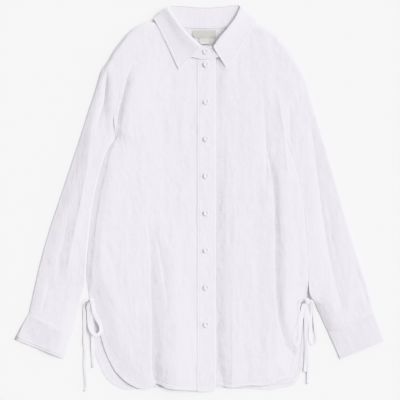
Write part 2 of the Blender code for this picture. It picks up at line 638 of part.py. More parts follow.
def build_collar(material):
    """The stand rises from the neck seam, and the leaf turns down from the stand's top."""
    rows = np.array([row[1:] for row in COLLAR_SECTIONS], float)
    curves = [smooth_curve(rows[:, k], COLLAR_SECTION_STEPS) for k in range(4)]
    pick = np.rint(even(COLLAR_STEPS) * (len(curves[0]) - 1)).astype(int)
    seam, top, middle, edge = (curve[pick] for curve in curves)
    inward = np.cross(np.gradient(top + seam, axis=0), top - seam)
    inward /= np.linalg.norm(inward, axis=1, keepdims=True)
    low = np.vstack([STAND_TIP_RIGHT["seam"], seam, STAND_TIP_LEFT["seam"]])
    high = np.vstack([STAND_TIP_RIGHT["top"], top, STAND_TIP_LEFT["top"]])
    stand = low[None] + (high - low)[None] * even(STAND_ROWS)[:, None, None]
    wall_solid("collar_stand", stand, TWO_PLY, material)
    start = top - inward * (TWO_PLY + LEAF_CLEARANCE)
    leaf = np.array([
        at_shares(smooth_curve([start[i], middle[i], edge[i]]), even(LEAF_ROWS)) for i in range(len(start))
    ])
    leaf[..., 2] = np.maximum(leaf[..., 2], TWO_PLY / 2)
    wall_solid("collar_leaf", leaf, TWO_PLY, material)


def build_label(name, place, material):
    """A label that lies on the inside of the back, made from the back's surface and moved out."""
    x = np.linspace(*place["x"], LABEL_COLUMNS + 1)
    y = np.linspace(*place["y"][::-1], LABEL_ROWS + 1)
    flat = np.stack(np.meshgrid(x, y), axis=2)
    height = back_bed(flat[..., 0], flat[..., 1]) + CLOTH / 2 + 2 * RIDE + LABEL_WALL / 2
    return wall_solid(name, with_height(flat, height), LABEL_WALL, material)


def build_button(name, place, material):
    """A turned disc with a raised rim and a dished middle."""
    radius, thick = BUTTON_DIAMETER / 2 * MM, BUTTON_THICKNESS * MM
    bm = bmesh.new()
    verts = [bm.verts.new((r * radius, 0, z * thick)) for r, z in BUTTON_PROFILE]
    edges = [bm.edges.new(pair) for pair in zip(verts[:-1], verts[1:])]
    bmesh.ops.spin(
        bm, geom=verts + edges, cent=(0, 0, 0), axis=(0, 0, 1), angle=2 * np.pi, steps=BUTTON_SIDES,
        use_merge=True,
    )
    bmesh.ops.remove_doubles(bm, verts=bm.verts, dist=1e-6)
    thing = new_object(name, bm, material)
    thing.location = [c * MM for c in place]
    return thing


def build_buttons(material):
    """The buttons down the placket, and one that fastens the collar stand."""
    around = np.linspace(-BUTTON_DIAMETER / 2, BUTTON_DIAMETER / 2, 5)
    for i in range(BUTTON_COUNT):
        y = FIRST_BUTTON_Y - i * BUTTON_SPACING
        gx, gy = np.meshgrid(CENTRE_X + around, y + around)
        z = right_front_height(gx, gy).max() + 1.5 * CLOTH + 2 * RIDE
        build_button(f"button_{i + 1:02d}", (CENTRE_X, y, z), material)
    seam, top = np.array(STAND_TIP_RIGHT["seam"], float), np.array(STAND_TIP_RIGHT["top"])
    rise = top - seam
    tilt = np.arctan2(rise[2], rise[1])
    out = np.array([0, -np.sin(tilt), np.cos(tilt)]) * (TWO_PLY / 2 + RIDE)
    middle = (seam + top) / 2 + out
    thing = build_button("button_stand", (STAND_BUTTON_X, middle[1], middle[2]), material)
    thing.rotation_euler = (tilt, 0, 0)


def build_knot(name, knot, material):
    bm = bmesh.new()
    bmesh.ops.create_uvsphere(bm, u_segments=KNOT_SIDES, v_segments=KNOT_RINGS, radius=1.0)
    bmesh.ops.scale(bm, vec=[h * MM for h in knot["half"]], verts=bm.verts)
    thing = new_object(name, bm, material)
    thing.location = [c * MM for c in knot["centre"]]
    return thing


def build_cord(name, route, material):
    """A tube along a smooth curve through the route's points."""
    curve = smooth_curve(route)
    points = at_shares(curve, even(int(length_along(curve)[-1] / (CORD_POINT_WIDTHS * CORD_WIDTH))))
    data = bpy.data.curves.new(name, "CURVE")
    data.dimensions = "3D"
    data.bevel_depth = CORD_WIDTH / 2 * MM
    data.bevel_resolution = 2
    data.use_fill_caps = True
    spline = data.splines.new("POLY")
    spline.points.add(len(points) - 1)
    for point, place in zip(spline.points, points):
        point.co = (*(place * MM), 1)
    data.materials.append(material)
    thing = bpy.data.objects.new(name, data)
    bpy.context.collection.objects.link(thing)
    return thing


def new_material(name):
    look = MATERIALS[name]
    material = bpy.data.materials.new(name)
    material.use_nodes = True
    shader = material.node_tree.nodes["Principled BSDF"]
    shader.inputs["Base Color"].default_value = (*look["colour"], 1)
    shader.inputs["Roughness"].default_value = look["roughness"]
    shader.inputs["Metallic"].default_value = 0
    return material


def main():
    for thing in list(bpy.data.objects):
        bpy.data.objects.remove(thing)
    linen, label, pearl = (new_material(name) for name in MATERIALS)
    build_back(linen)
    build_front_right(linen)
    build_front_left(linen)
    build_placket(linen)
    build_sleeve("sleeve_right", SLEEVE_RIGHT_OUTER, SLEEVE_RIGHT_INNER, ARMHOLE_RIGHT, -SEAM_GAP, linen)
    build_sleeve("sleeve_left", SLEEVE_LEFT_OUTER, SLEEVE_LEFT_INNER, ARMHOLE_LEFT, SEAM_GAP, linen)
    build_cuff("cuff_right", CUFF_RIGHT_OUTER, CUFF_RIGHT_INNER, linen)
    build_cuff("cuff_left", CUFF_LEFT_OUTER, CUFF_LEFT_INNER, linen)
    build_collar(linen)
    build_label("neck_label", NECK_LABEL, label)
    build_label("size_label", SIZE_LABEL, label)
    build_buttons(pearl)
    build_knot("tie_right_knot", KNOT_RIGHT, linen)
    build_knot("tie_left_knot", KNOT_LEFT, linen)
    for name, route in CORD_ROUTES.items():
        build_cord(name, route, linen)


main()
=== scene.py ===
"""The looks of a linen shirt blouse that lies flat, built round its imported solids.

Every cloth piece is a thin shell on the form of its solid, with the photograph's creases as soft
troughs and ridges. x runs across the shirt with the wearer's left at +x, y runs from hem to
collar, and z is up from the surface. Sizes and tables are in millimetres until a mesh is made.
Right and left in the pieces' names are the wearer's, so the right sleeve lies at -x. The left side
of a crease is the one at -x, and the left edge of a grid is its first column.
"""

from functools import partial

import bmesh
import bpy
import numpy as np
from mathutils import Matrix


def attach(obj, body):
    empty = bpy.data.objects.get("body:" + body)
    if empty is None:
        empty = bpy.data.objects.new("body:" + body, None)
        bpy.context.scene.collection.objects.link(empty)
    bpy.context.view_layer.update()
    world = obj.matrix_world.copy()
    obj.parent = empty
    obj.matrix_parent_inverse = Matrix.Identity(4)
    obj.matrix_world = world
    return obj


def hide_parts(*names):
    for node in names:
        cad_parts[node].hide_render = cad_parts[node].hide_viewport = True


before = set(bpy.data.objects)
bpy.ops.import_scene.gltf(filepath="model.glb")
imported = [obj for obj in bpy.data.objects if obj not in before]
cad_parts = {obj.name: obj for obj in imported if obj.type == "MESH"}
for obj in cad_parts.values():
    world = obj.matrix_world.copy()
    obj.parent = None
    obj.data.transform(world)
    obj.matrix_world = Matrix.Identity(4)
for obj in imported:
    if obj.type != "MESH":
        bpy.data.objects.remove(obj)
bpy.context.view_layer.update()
MM = 0.001

# Camera, straight above: one pixel of the photograph is 2 mm
PIXEL = 2.0
FRAME_PIXELS = 400
CAMERA_CENTRE = (1.5, -1.5)
CAMERA_LENS = 135.0
SENSOR = 36.0

# Walls of the cloth
WALL = 0.7
TWO_PLY = 1.5
LEAF_PLY = 0.9
STAND_PLY = 1.1
LABEL_WALL = 0.5
RIM_SHARE = 0.35
LABEL_RIDE = 1.45
PLACKET_RIDE = 0.8

# Heights of the upper cloth, the back and the folded edges
MIDDLE_HEIGHT = 5.6
SIDE_HEIGHT = 6.8
MIDDLE_REACH = 55.0
SIDE_REACH = 150.0
LOWEST_TOP = 1.95
HEM_SHARE = 0.25
SLIT_SHARE = 0.05
FREE_EDGE_REACH = 45.0
SHOULDER_ROLL = 9.0
SIDE_ROLL = {"right": 26.0, "left": 0.8}
OUTER_ROLL = {"right": 26.0, "left": 6.0}
INNER_ROLL = 0.8
SLEEVE_LEAN = {"right": 2.4, "left": 0.0}
ROLL_BELOW = 5.0
EDGE_HEIGHT = 1.0
ABUT_LIFT = 4.2
ABUT_REACH = (8, 16)
ABUT_FADE = (-214, -190)
BACK_FLOOR = 0.36
NECK_LIFT = 3.6
NECK_LIFT_REACH = 32.0
NECK_EDGE_LIFT = 3.3

# The opening, where the right front laps over the left one
CENTRE_X = 14.0
PLACKET_WIDTH = 36.0
PLACKET_TOP_Y = 281.5
PLACKET_OVERHANG = 0.4
PLACKET_FOLD = (1.4, 0.7)
FREE_EDGE_X = 32.0
OPENING_Y = (282.0, 120.0, -194.0)
LAP_DROP = 2.1
LAP_START_X = -6.0
LAP_END_X = 33.0
LAP_FADE = 24.0

# Cuffs, buttons and ties
CUFF_HEIGHT = 4.9
CUFF_LEAN = {"right": (0.1, 0.06), "left": (0.03, 0.045)}
CUFF_LOWEST = 1.9
CUFF_FLOOR = 0.8
CUFF_GAP = 0.3
BUTTON_DIAMETER = 11.0
BUTTON_THICKNESS = 2.2
BUTTON_COUNT = 8
FIRST_BUTTON_Y = 269.5
BUTTON_SPACING = 74.3
STAND_BUTTON_X = 13.0
CORD_WIDTH = 3.6
CORD_THICKNESS = 1.1
TAPE_WIDTH = 6.8

# Outlines of the pattern pieces as they lie, each point as x, y
SHOULDER = {
    "right": [
        (-182, 278), (-171, 298), (-156, 318), (-138, 338), (-120, 350), (-104, 356), (-90, 354.5),
        (-76.5, 348.5),
    ],
    "left": [
        (99.5, 347.5), (113.5, 349.5), (127.5, 348.5), (145.5, 338), (159.5, 328), (175.5, 308.5),
        (189.5, 289.5), (205.5, 261.5),
    ],
}
ARMHOLE = {
    "right": [(-182, 278), (-174, 238), (-172, 198), (-172, 158), (-169.5, 120.5)],
    "left": [(205.5, 261.5), (188.5, 228.5), (179.5, 190.5), (175.5, 154.5), (174.5, 118.5)],
}
SIDE = {
    "right": [
        (-169.5, 120.5), (-182.6, 100.5), (-193, 74.5), (-203.6, 36.5), (-211, 0.5), (-217.4, -43.5),
        (-222, -87.5), (-224.8, -131.5), (-224.4, -163), (-220, -193.5),
    ],
    "left": [
        (174.5, 118.5), (181.3, 98.5), (188.1, 77), (197.9, 38.5), (205.6, -1.5), (211.6, -51.5),
        (215.2, -101.5), (217, -151.5), (216.5, -193.5),
    ],
}
NECK_BACK = [
    (-76.5, 348.5), (-54.5, 346.5), (-24.5, 344), (11.5, 343), (47.5, 344), (77.5, 346.5), (99.5, 347.5),
]
NECK_FRONT = {
    "right": [(-76.5, 348.5), (-66.5, 333.5), (-48.5, 308.5), (-23.5, 290.5), (3.5, 282), (32, 282)],
    "left": [(-3.5, 282), (24, 282.5), (51.5, 293.5), (75.5, 311.5), (91.5, 331.5), (99.5, 347.5)],
}
SLIT_FRONT = {
    "right": [
        (-220, -193.5), (-215.5, -207.5), (-206.5, -237.5), (-197, -272), (-186.5, -307.5), (-168, -344.5),
    ],
    "left": [
        (216.5, -193.5), (212.5, -206.5), (207.5, -241.5), (201.5, -277.5), (195.5, -305.5), (192, -329.5),
        (189.5, -345.5),
    ],
}
SLIT_BACK = {
    "right": [
        (-220, -193.5), (-219.5, -211.5), (-217.5, -237.5), (-214.5, -261.5), (-210, -303), (-198.5, -333.5),
    ],
    "left": [
        (216.5, -193.5), (216.5, -211.5), (213.5, -251.5), (210.5, -291.5), (207.5, -321.5), (203.5, -345.5),
    ],
}
HEM_FRONT = {
    "right": [
        (-168, -344.5), (-143, -367.5), (-116.5, -379), (-100.5, -377.5), (-84.5, -370), (-62.5, -378),
        (-32.5, -381), (0, -382.5), (32, -384),
    ],
    "left": [
        (-3.5, -373.5), (36.5, -371.5), (61.5, -377), (97.5, -372.7), (125.5, -372.5), (147.5, -367.5),
        (169.5, -359.5), (183.5, -354.5), (189.5, -345.5),
    ],
}
HEM_BACK = [
    (-198.5, -333.5), (-186.5, -357.5), (-170.5, -371.5), (-148.5, -381.5), (-124.5, -380.5), (-60, -376),
    (20, -377), (71.5, -379), (121.5, -381.5), (141.5, -383), (161.5, -378.5), (183.5, -374.5),
    (195.5, -365.5), (203.5, -345.5),
]
SLEEVE_OUTER = {
    "right": [
        (-182, 278), (-196, 258), (-208, 218), (-222, 176), (-240, 118), (-260, 58), (-280, -2), (-300, -62),
        (-318, -126), (-330, -178), (-341.3, -228.7),
    ],
    "left": [
        (205.5, 261.5), (213.5, 248.5), (223.5, 214.5), (235.5, 172.5), (251.5, 118.5), (269.5, 58.5),
        (286.5, -1.5), (303.5, -61.5), (322.5, -121.5), (338.5, -171.5), (352.9, -227.5),
    ],
}
SLEEVE_INNER = {
    "right": [
        (-169.5, 120.5), (-183.3, 100.5), (-193.9, 74.5), (-204.5, 36.5), (-212.1, 0.5), (-218.5, -43.5),
        (-223.3, -87.5), (-226.9, -131.5), (-229.7, -171.5), (-240.5, -209.5), (-254.9, -272.9),
    ],
    "left": [
        (174.5, 118.5), (182.8, 97.5), (190.9, 68.5), (199.8, 32.5), (207, -7.5), (212.1, -49.5),
        (215.2, -91.5), (217.1, -133.5), (218.4, -173.5), (222, -192), (233.5, -213.5), (258.7, -267.5),
    ],
}
CUFF_OUTER = {
    "right": [(-341.3, -228.7), (-356, -254), (-369.9, -280.1)],
    "left": [(352.9, -227.5), (363, -254), (371.9, -281.5)],
}
CUFF_INNER = {
    "right": [(-254.9, -272.9), (-264, -296), (-271.3, -319.1)],
    "left": [(258.7, -267.5), (271, -294), (282.1, -320.5)],
}

# Creases of each piece, top to bottom: a trough, or a ridge where the depth is negative, with a
# width to its left and right. The rows of a path are x, y and the depth there. A steep crease has
# next to no width on its left.
CREASES = {
    "front_right": {
        "main": (0.05, 48, [
            (-108, -30, 0), (-101, -82, 1.6), (-99, -126, 2.4), (-97.5, -202, 3.3), (-96.5, -282, 3.9),
            (-95.5, -368, 3.9), (-95.5, -390, 3.9),
        ]),
        "second": (3, 10, [
            (-92, -50, 0), (-80, -100, 1), (-72, -150, 1.3), (-66, -190, 0.8), (-62, -230, 0),
        ]),
        "soft": (10, 14, [(-76, 210, 0), (-72, 120, 0.7), (-69, 20, 0.9), (-68, -40, 0)]),
        "chest": (0.05, 20, [
            (-136, 272, 0), (-146.5, 238.5, 2.1), (-154, 208, 2.4), (-162, 178.5, 2.3), (-168, 145, 1.5),
            (-171.5, 122, 0.6), (-174, 108, 0),
        ]),
        "side_swell": (14, 50, [
            (-158, 115, 0), (-178, 60, -1.2), (-188, 0, -1.6), (-196, -60, -1.6), (-200, -120, -1.4),
            (-200, -170, 0),
        ]),
        "waist": (4, 9, [(-186, -85, 0), (-180, -110, 0.8), (-170, -146, 0.7), (-162, -170, 0)]),
        "hip": (4, 7, [(-190, -185, 0), (-178, -208, 0.8), (-163, -232, 0.5), (-152, -250, 0)]),
    },
    "front_left": {
        "main": (0.05, 24, [
            (133, 110, 0), (138, 80, 1.6), (143, 48, 2.9), (148.5, -1.5, 3.6), (150, -61.5, 4.1),
            (150, -121.5, 4), (151, -181.5, 4), (157, -241.5, 4), (171, -291.5, 3.6),
            (189, -316, 2.2), (200, -325, 0),
        ]),
        "upper": (4, 9, [
            (125.5, 228.5, 0), (129.5, 178.5, 0.9), (133.5, 118.5, 2), (133.5, 58.5, 1.4), (131.5, 18.5, 0),
        ]),
        "ridge": (7, 7, [
            (155.5, 228.5, 0), (161.5, 188.5, -1.4), (169.5, 138.5, -1.6), (175, 78, -1.4), (181, 18, 0),
        ]),
        "armhole": (3, 5, [(181.5, 200, 0), (181.5, 160, 1), (181.5, 118, 0.8), (185, 80, 0)]),
        "beside_placket": (4, 26, [
            (32, 140, 0), (32, 60, 0.8), (32, 0, 1.4), (32, -90, 1.8), (32, -180, 2.4), (32, -240, 3.2),
            (32, -300, 3.6), (32, -390, 3.6),
        ]),
        "swell": (24, 50, [
            (70, 130, 0), (70, 30, -1.2), (70, -60, -1.6), (68, -180, -2.2), (66, -260, -3),
            (66, -390, -3.2),
        ]),
        "soft": (8, 10, [(55, 230, 0), (52, 150, 0.6), (49, 60, 0.6), (50, 10, 0)]),
    },
    "sleeve_right": {
        "cap": (2.5, 8, [
            (-183.5, 272, 0), (-186.5, 238.5, 3.2), (-190.5, 198.5, 2.8), (-196, 178.5, 2.4),
            (-204, 150, 1), (-208.5, 130, 0),
        ]),
        "long_ridge": (16, 40, [
            (-212, 165, 0), (-217.5, 118.5, -2.6), (-221.5, 78.5, -3.8), (-228.5, 38.5, -4.2),
            (-239.5, -21.5, -4.4), (-247.5, -57.5, -4.4), (-260.5, -121.5, -3.4), (-268, -171.5, 0),
        ]),
        "outer": (3, 8, [
            (-254.5, 14.5, 0), (-264.5, -51.5, 0.9), (-280.5, -121.5, 0.9), (-286.5, -165.5, 0),
        ]),
        "wrist": (3, 7, [(-297, -150, 0), (-304, -180, 0.8), (-312, -215, 0.7), (-318, -235, 0)]),
    },
    "sleeve_left": {
        "long_trough": (8, 14, [
            (213.5, 198.5, 0), (227.5, 118.5, 1.6), (237.5, 38.5, 2.2), (246, -31.5, 2.8),
            (261.5, -121.5, 2.6), (279.5, -201.5, 1.4), (290, -235, 0),
        ]),
        "second": (4, 6, [(246, 18, 0), (262, -32, 0.8), (266, -82, 0.8), (292, -175, 0.5), (300, -200, 0)]),
        "cap": (3, 6, [(201.5, 248.5, 0), (208, 225, 1), (215.5, 208.5, 0)]),
        "wrist": (4, 8, [(312, -135, 0), (322, -165, 1), (334, -200, 0.8), (342, -228, 0)]),
    },
}
CREASE_ROUNDING = 0.03
STEEP = 1.0
GATHER = 0.85
GATHER_REACH = 9.0
OVERLAP = 0.4
OVERLAP_START = 0.35
OVERLAP_REACH = 1.6
CREST_SHARE = 0.45
CREST_WIDTH = 38.0
FLANK_POWER = 2.0
SWELL_SHARE = {"front_right": 1.45, "front_left": 0.7}

# Soft ripples of washed linen: their size across and along the piece, their height and their seed
RIPPLES = [(15.0, 70.0, 0.34, 11), (34.0, 150.0, 0.5, 23), (9.0, 24.0, 0.2, 37), (6.0, 9.0, 0.09, 41)]
RIPPLE_BEND = 0.35
RIPPLE_BEND_SIZE = (90, 120)
BACK_RIPPLE = 0.5
CUFF_RIPPLE = 0.6

# The right front rises in a straight slope beside its side seam: rows of y and the slope's width
SIDE_SLOPE = [(-192, 0), (-165, 10), (-121, 12), (-41, 13.5), (38, 14), (60, 13), (100, 8), (135, 0)]
SLOPE_SHARE = 0.8
SLOPE_START_X = (100, 120)
SLOPE_FULL_WIDTH = 6.0

# Sections round the collar, from the wearer's right front end to the left one. Each row gives the
# stand's seam and top edge, then the leaf's middle and free edge, each as x, y, z.
COLLAR_SECTIONS = [
    ("right_end", (3.5, 285.5, 8.9), (3.5, 306, 16.2), (-18.5, 283, 15), (-40.5, 258.5, 10)),
    ("right_front", (-23.5, 293.5, 8.2), (-14.5, 321.5, 20), (-37.5, 307, 18), (-55.5, 290.5, 8.6)),
    ("right_middle", (-48.5, 312, 8.2), (-33.5, 342.5, 22), (-54.5, 334.5, 18.5), (-71.5, 323.5, 8.6)),
    ("right_side", (-65.5, 336, 8.2), (-50.5, 365.5, 19), (-69, 359.5, 15.5), (-84.5, 348.5, 8.8)),
    ("right_shoulder", (-75.5, 350.5, 7.9), (-60.5, 383, 12.5), (-78, 374.5, 8.5), (-90.5, 361.5, 5)),
    ("right_under", (-66.5, 348.5, 7), (-51.5, 386, 12.4), (-69.5, 370.5, 4.6), (-82.5, 354, 1.05)),
    ("right_back", (-54.5, 346, 6.1), (-38.5, 386, 12.5), (-50.5, 364.5, 4.2), (-61.5, 342.5, 1)),
    ("right_centre", (-24.5, 343.5, 6), (-15.5, 384, 12.5), (-19.5, 361.5, 4.2), (-24.5, 338.5, 1)),
    ("centre_back", (11.5, 342, 6), (11.5, 382.5, 12.5), (11.5, 360.5, 4.2), (11.5, 336.5, 1)),
    ("left_centre", (47.5, 343.5, 6), (39.5, 384, 12.5), (43.5, 361.5, 4.2), (47.5, 338.5, 1)),
    ("left_back", (77.5, 346, 6.1), (62.5, 386.5, 12.5), (73.5, 364.5, 4.2), (84.5, 342.5, 1)),
    ("left_under", (89.5, 348.5, 7), (73.5, 387.5, 12.7), (90.5, 370, 4.6), (105.5, 353, 1.05)),
    ("left_shoulder", (98.5, 350.5, 7.9), (80.5, 386.5, 12.8), (97, 372.5, 8.5), (114, 356.5, 5)),
    ("left_side", (90.5, 334.5, 8.2), (74.5, 367.5, 21), (91.5, 358.5, 16), (106.5, 344.5, 8.8)),
    ("left_middle", (74.5, 314.5, 8.2), (58.5, 344.5, 22), (76.5, 333.5, 18.5), (91.5, 318.5, 8.6)),
    ("left_front", (51.5, 296.5, 8.2), (40.5, 323, 19), (59.5, 308.5, 17), (75.5, 290.5, 8.6)),
    ("left_end", (28, 285.5, 6.4), (28, 306, 13.6), (40.5, 285, 13.6), (53.5, 264.5, 10)),
]

# The rounded tips of the stand at the opening: seam and top
STAND_TIPS = {
    "right": [(25, 285.5, 8.9), (25, 305.5, 16.2)],
    "left": [(1.5, 285.5, 6.4), (1.5, 306, 13.3)],
}

# The labels' edges in x and y, and the middle and half size of each bow's knot
LABELS = {"neck_label": [(-13, 33), (323, 338)], "size_label": [(0, 19.5), (310, 322.4)]}
KNOTS = {
    "tie_right_knot": [(-216.5, -203, 8.7), (5, 5.5, 3.6)],
    "tie_left_knot": [(214.5, -204, 8.4), (5, 5.5, 3.6)],
}

# The routes of the ties' loops and tails from the knot on, as x, y, z, with each one's real length
CORD_ROUTES = {
    "tie_right_loop": (142.5, [
        (-220.4, -208.2, 9.6), (-222, -214, 7.4), (-222.2, -223, 5), (-221.2, -243, 3.9), (-218.5, -257, 5.8),
        (-213, -267, 7.9), (-206, -271.5, 7.4), (-199.5, -268.5, 7.4), (-196, -260, 7.5), (-198.5, -250, 7.5),
        (-205, -240, 7.5), (-210, -226, 7.5), (-212, -214.5, 8.6), (-212.5, -208.3, 9.6),
    ]),
    "tie_right_tail_front": (127.8, [
        (-216.5, -208.9, 7.8), (-216.6, -214.5, 5.8), (-216, -227, 3.9), (-215.8, -240, 3.4),
        (-214.5, -262, 3.3), (-213.2, -290, 3.3), (-213.5, -318, 2.4), (-212, -336, 2),
    ]),
    "tie_right_tail_back": (183.7, [
        (-222.4, -204.5, 8.1), (-226.8, -207.5, 5.4), (-230, -216, 2.8), (-230.5, -230, 2), (-229.5, -252, 2),
        (-228.5, -291, 2), (-229.5, -330, 2), (-228, -360, 2), (-227.5, -384, 2),
    ]),
    "tie_left_loop_inner": (185.4, [
        (208.3, -202.8, 9.6), (204.5, -203.8, 8.7), (200, -209, 7.6), (197.8, -220, 7.4), (198, -236, 7.4),
        (193, -252, 7.3), (187, -266, 7.2), (186.5, -282, 7), (192.5, -291.5, 6.9), (198.5, -286, 6.9),
        (199.5, -270, 7), (201, -250, 7.2), (204.5, -230, 7.3), (207, -216, 8.1), (208.8, -208.3, 9.3),
    ]),
    "tie_left_loop_outer": (178.7, [
        (221, -202.8, 7.6), (225, -205.5, 6.2), (228, -215, 3.6), (230.5, -236, 2), (233.5, -260, 2),
        (233.5, -281, 2), (228.5, -290.5, 2), (223, -284, 2), (222, -268, 2), (223, -246, 2.2),
        (222.3, -228, 3.7), (221.9, -215, 7.3), (220.7, -208.2, 10.1),
    ]),
    "tie_left_tail_long": (159.6, [
        (216.3, -210, 7.5), (217.5, -217, 5.4), (218.6, -230, 3.5), (219, -252, 3), (219.3, -272, 2.1),
        (219.5, -300, 2), (219.6, -330, 2), (219.3, -350, 2), (218.5, -369, 2),
    ]),
    "tie_left_tail_short": (136.0, [
        (212.3, -209.8, 7.8), (212.4, -217, 6.8), (212.8, -230, 5), (213, -252, 3.5), (213.2, -282, 3.4),
        (213, -305, 3.3), (212.5, -325, 3.3), (212, -345, 3.3),
    ]),
}

# Sewing: how far each row of stitches lies from its edge, and the stitches' size
HEM_INSET = 7.5
PLACKET_INSET = 3.0
COLLAR_INSET = 5.0
CUFF_INSET = 5.0
STAND_INSET = 1.6
STITCH_PITCH = 3.0
STITCH_LENGTH = 2.3
STITCH_WIDTH = 0.5
NOT_SEWN = 99.0
SHARP_ANGLE = 0.8


# Curves and grids

FINE_SHARE = 0.8
FINE_STEPS = 7


def smooth_step(value, start, end):
    """0 before start, 1 after end, and a smooth rise between them."""
    share = np.clip((value - start) / (end - start), 0, 1)
    return share * share * (3 - 2 * share)


def unit(vectors):
    """The same vectors with a length of 1."""
    return vectors / np.maximum(np.linalg.norm(vectors, axis=-1, keepdims=True), 1e-9)


def smooth_curve(points, steps=24):
    """Many points along a smooth curve through the given ones."""
    p = np.array(points, float)
    if len(p) == 2:
        return p[0] + (p[1] - p[0]) * np.linspace(0, 1, steps + 1)[:, None]
    ends = np.vstack([2 * p[0] - p[1], p, 2 * p[-1] - p[-2]])
    knots = np.concatenate([[0], np.cumsum(np.linalg.norm(np.diff(ends, axis=0), axis=1) ** 0.5)])
    out = []
    for i in range(1, len(ends) - 2):
        t = np.linspace(knots[i], knots[i + 1], steps, endpoint=False)[:, None]
        k = knots[i - 1 : i + 3]
        a = ends[i - 1 : i + 3]
        b = [((k[j + 1] - t) * a[j] + (t - k[j]) * a[j + 1]) / (k[j + 1] - k[j]) for j in range(3)]
        c = [((k[j + 2] - t) * b[j] + (t - k[j]) * b[j + 1]) / (k[j + 2] - k[j]) for j in range(2)]
        out.append(((k[2] - t) * c[0] + (t - k[1]) * c[1]) / (k[2] - k[1]))
    return np.vstack(out + [p[-1:]])


def length_along(line):
    """The length of a line of points up to each of them."""
    return np.concatenate([[0], np.cumsum(np.linalg.norm(np.diff(line, axis=0), axis=1))])


def at_shares(curve, shares, values=None):
    """Points at these shares of a curve's length, or the values that go with its points there."""
    values = curve if values is None else values
    along = length_along(curve)
    at = np.array(shares) * along[-1]
    return np.stack([np.interp(at, along, column) for column in values.T], axis=1)


def shares_of(count, start=False, end=False):
    """Shares of a length for so many steps, finer at the start or end where the cloth turns over."""
    i = np.arange(count)
    finer = start * np.exp(-i / FINE_STEPS) + end * np.exp(-(count - 1 - i) / FINE_STEPS)
    step = 1 - FINE_SHARE * finer
    return np.concatenate([[0], np.cumsum(step)]) / step.sum()


def joined(parts):
    """One boundary of several outlines, each with its own shares."""
    runs = [at_shares(smooth_curve(points), shares) for points, shares in parts]
    return np.vstack([runs[0]] + [run[1:] for run in runs[1:]])


def filled(top, bottom, left, right):
    """A grid of points between four boundaries; rows run from top to bottom. The left and right
    boundaries own the corners."""
    top[0], top[-1] = left[0], right[0]
    bottom[0], bottom[-1] = left[-1], right[-1]
    u = sum(length_along(line) / length_along(line)[-1] for line in (top, bottom)) / 2
    v = sum(length_along(line) / length_along(line)[-1] for line in (left, right)) / 2
    u, v = u[None, :, None], v[:, None, None]
    between_sides = (1 - u) * left[:, None] + u * right[:, None]
    between_ends = (1 - v) * top[None] + v * bottom[None]
    corners = (1 - v) * ((1 - u) * top[0] + u * top[-1]) + v * ((1 - u) * bottom[0] + u * bottom[-1])
    return between_sides + between_ends - corners


def xy(points):
    """The x and the y of a grid of points."""
    return points[..., 0], points[..., 1]


def with_height(flat, height):
    """Points as seen from above, with their heights."""
    return np.concatenate([flat, height[..., None]], axis=-1)


def thread_places(across, along):
    """Places along the threads of the cloth, from those across and along the piece."""
    return np.stack(np.broadcast_arrays(across, along, 0.0), axis=2)


def distance_to(x, y, *outlines):
    """How far each point lies from the nearest of these outlines, seen from above."""
    best = np.full(np.shape(x), np.inf)
    for line in (smooth_curve(outline, 8) for outline in outlines):
        for a, b in zip(line[:-1], line[1:]):
            d = b - a
            t = np.clip(((x - a[0]) * d[0] + (y - a[1]) * d[1]) / max(d @ d, 1e-9), 0, 1)
            best = np.minimum(best, np.hypot(x - a[0] - t * d[0], y - a[1] - t * d[1]))
    return best


def noise(x, y, seed):
    """Smooth noise from -1 to 1, one wave to each unit of x and y."""
    table = np.random.default_rng(seed).uniform(-1, 1, (64, 64))
    i, j = np.floor(x).astype(int), np.floor(y).astype(int)
    fx, fy = smooth_step(x - i, 0, 1), smooth_step(y - j, 0, 1)
    a, b = table[i % 64, j % 64], table[(i + 1) % 64, j % 64]
    c, d = table[i % 64, (j + 1) % 64], table[(i + 1) % 64, (j + 1) % 64]
    return (a * (1 - fx) + b * fx) * (1 - fy) + (c * (1 - fx) + d * fx) * fy


# Creases


def beside(x, y, path, deepest=np.inf):
    """How far each point lies to the right of a crease, and the crease's depth at its y."""
    px, py, depth = np.array(path[::-1], float).T
    return x - np.interp(y, py, px), np.interp(y, py, np.minimum(depth, deepest), left=0, right=0)


def steep_creases(piece):
    """The paths of a piece's steep creases."""
    return [path for left_width, _, path in CREASES[piece].values() if left_width < STEEP]


def crease_depth(x, y, piece):
    """The depth of a piece's creases at each point. A steep one drops at once from a crest on its
    left. On its right a flank climbs from the foot, steepest there, into a ridge."""
    depth = np.zeros(np.shape(x))
    for left_width, right_width, path in CREASES[piece].values():
        off, here = beside(x, y, path)
        away = np.sqrt(off * off + CREASE_ROUNDING**2) - CREASE_ROUNDING
        left, right = np.exp(-away / left_width), np.exp(-away / right_width)
        if left_width < STEEP:
            left = (1 + CREST_SHARE) * left - CREST_SHARE * np.exp(-away / CREST_WIDTH)
            climb = np.clip(away / right_width, 0, 1)
            beyond = np.maximum(away - right_width, 0) / CREST_WIDTH
            swell = climb * (2 - climb) / (1 + beyond * beyond)
            right = (1 - climb) ** FLANK_POWER - SWELL_SHARE[piece] * swell
        depth += np.where(off < 0, left, right) * here
    return depth


def gathered(flat, piece):
    """The same grid with its columns drawn closer to each steep crease."""
    x, y = flat[..., 0].copy(), flat[..., 1]
    for path in steep_creases(piece):
        off, share = beside(x, y, path, deepest=1)
        x -= off * (1 - np.clip(np.abs(off) / GATHER_REACH, 0, 1)) * share * GATHER
    return with_height(x[..., None], y)


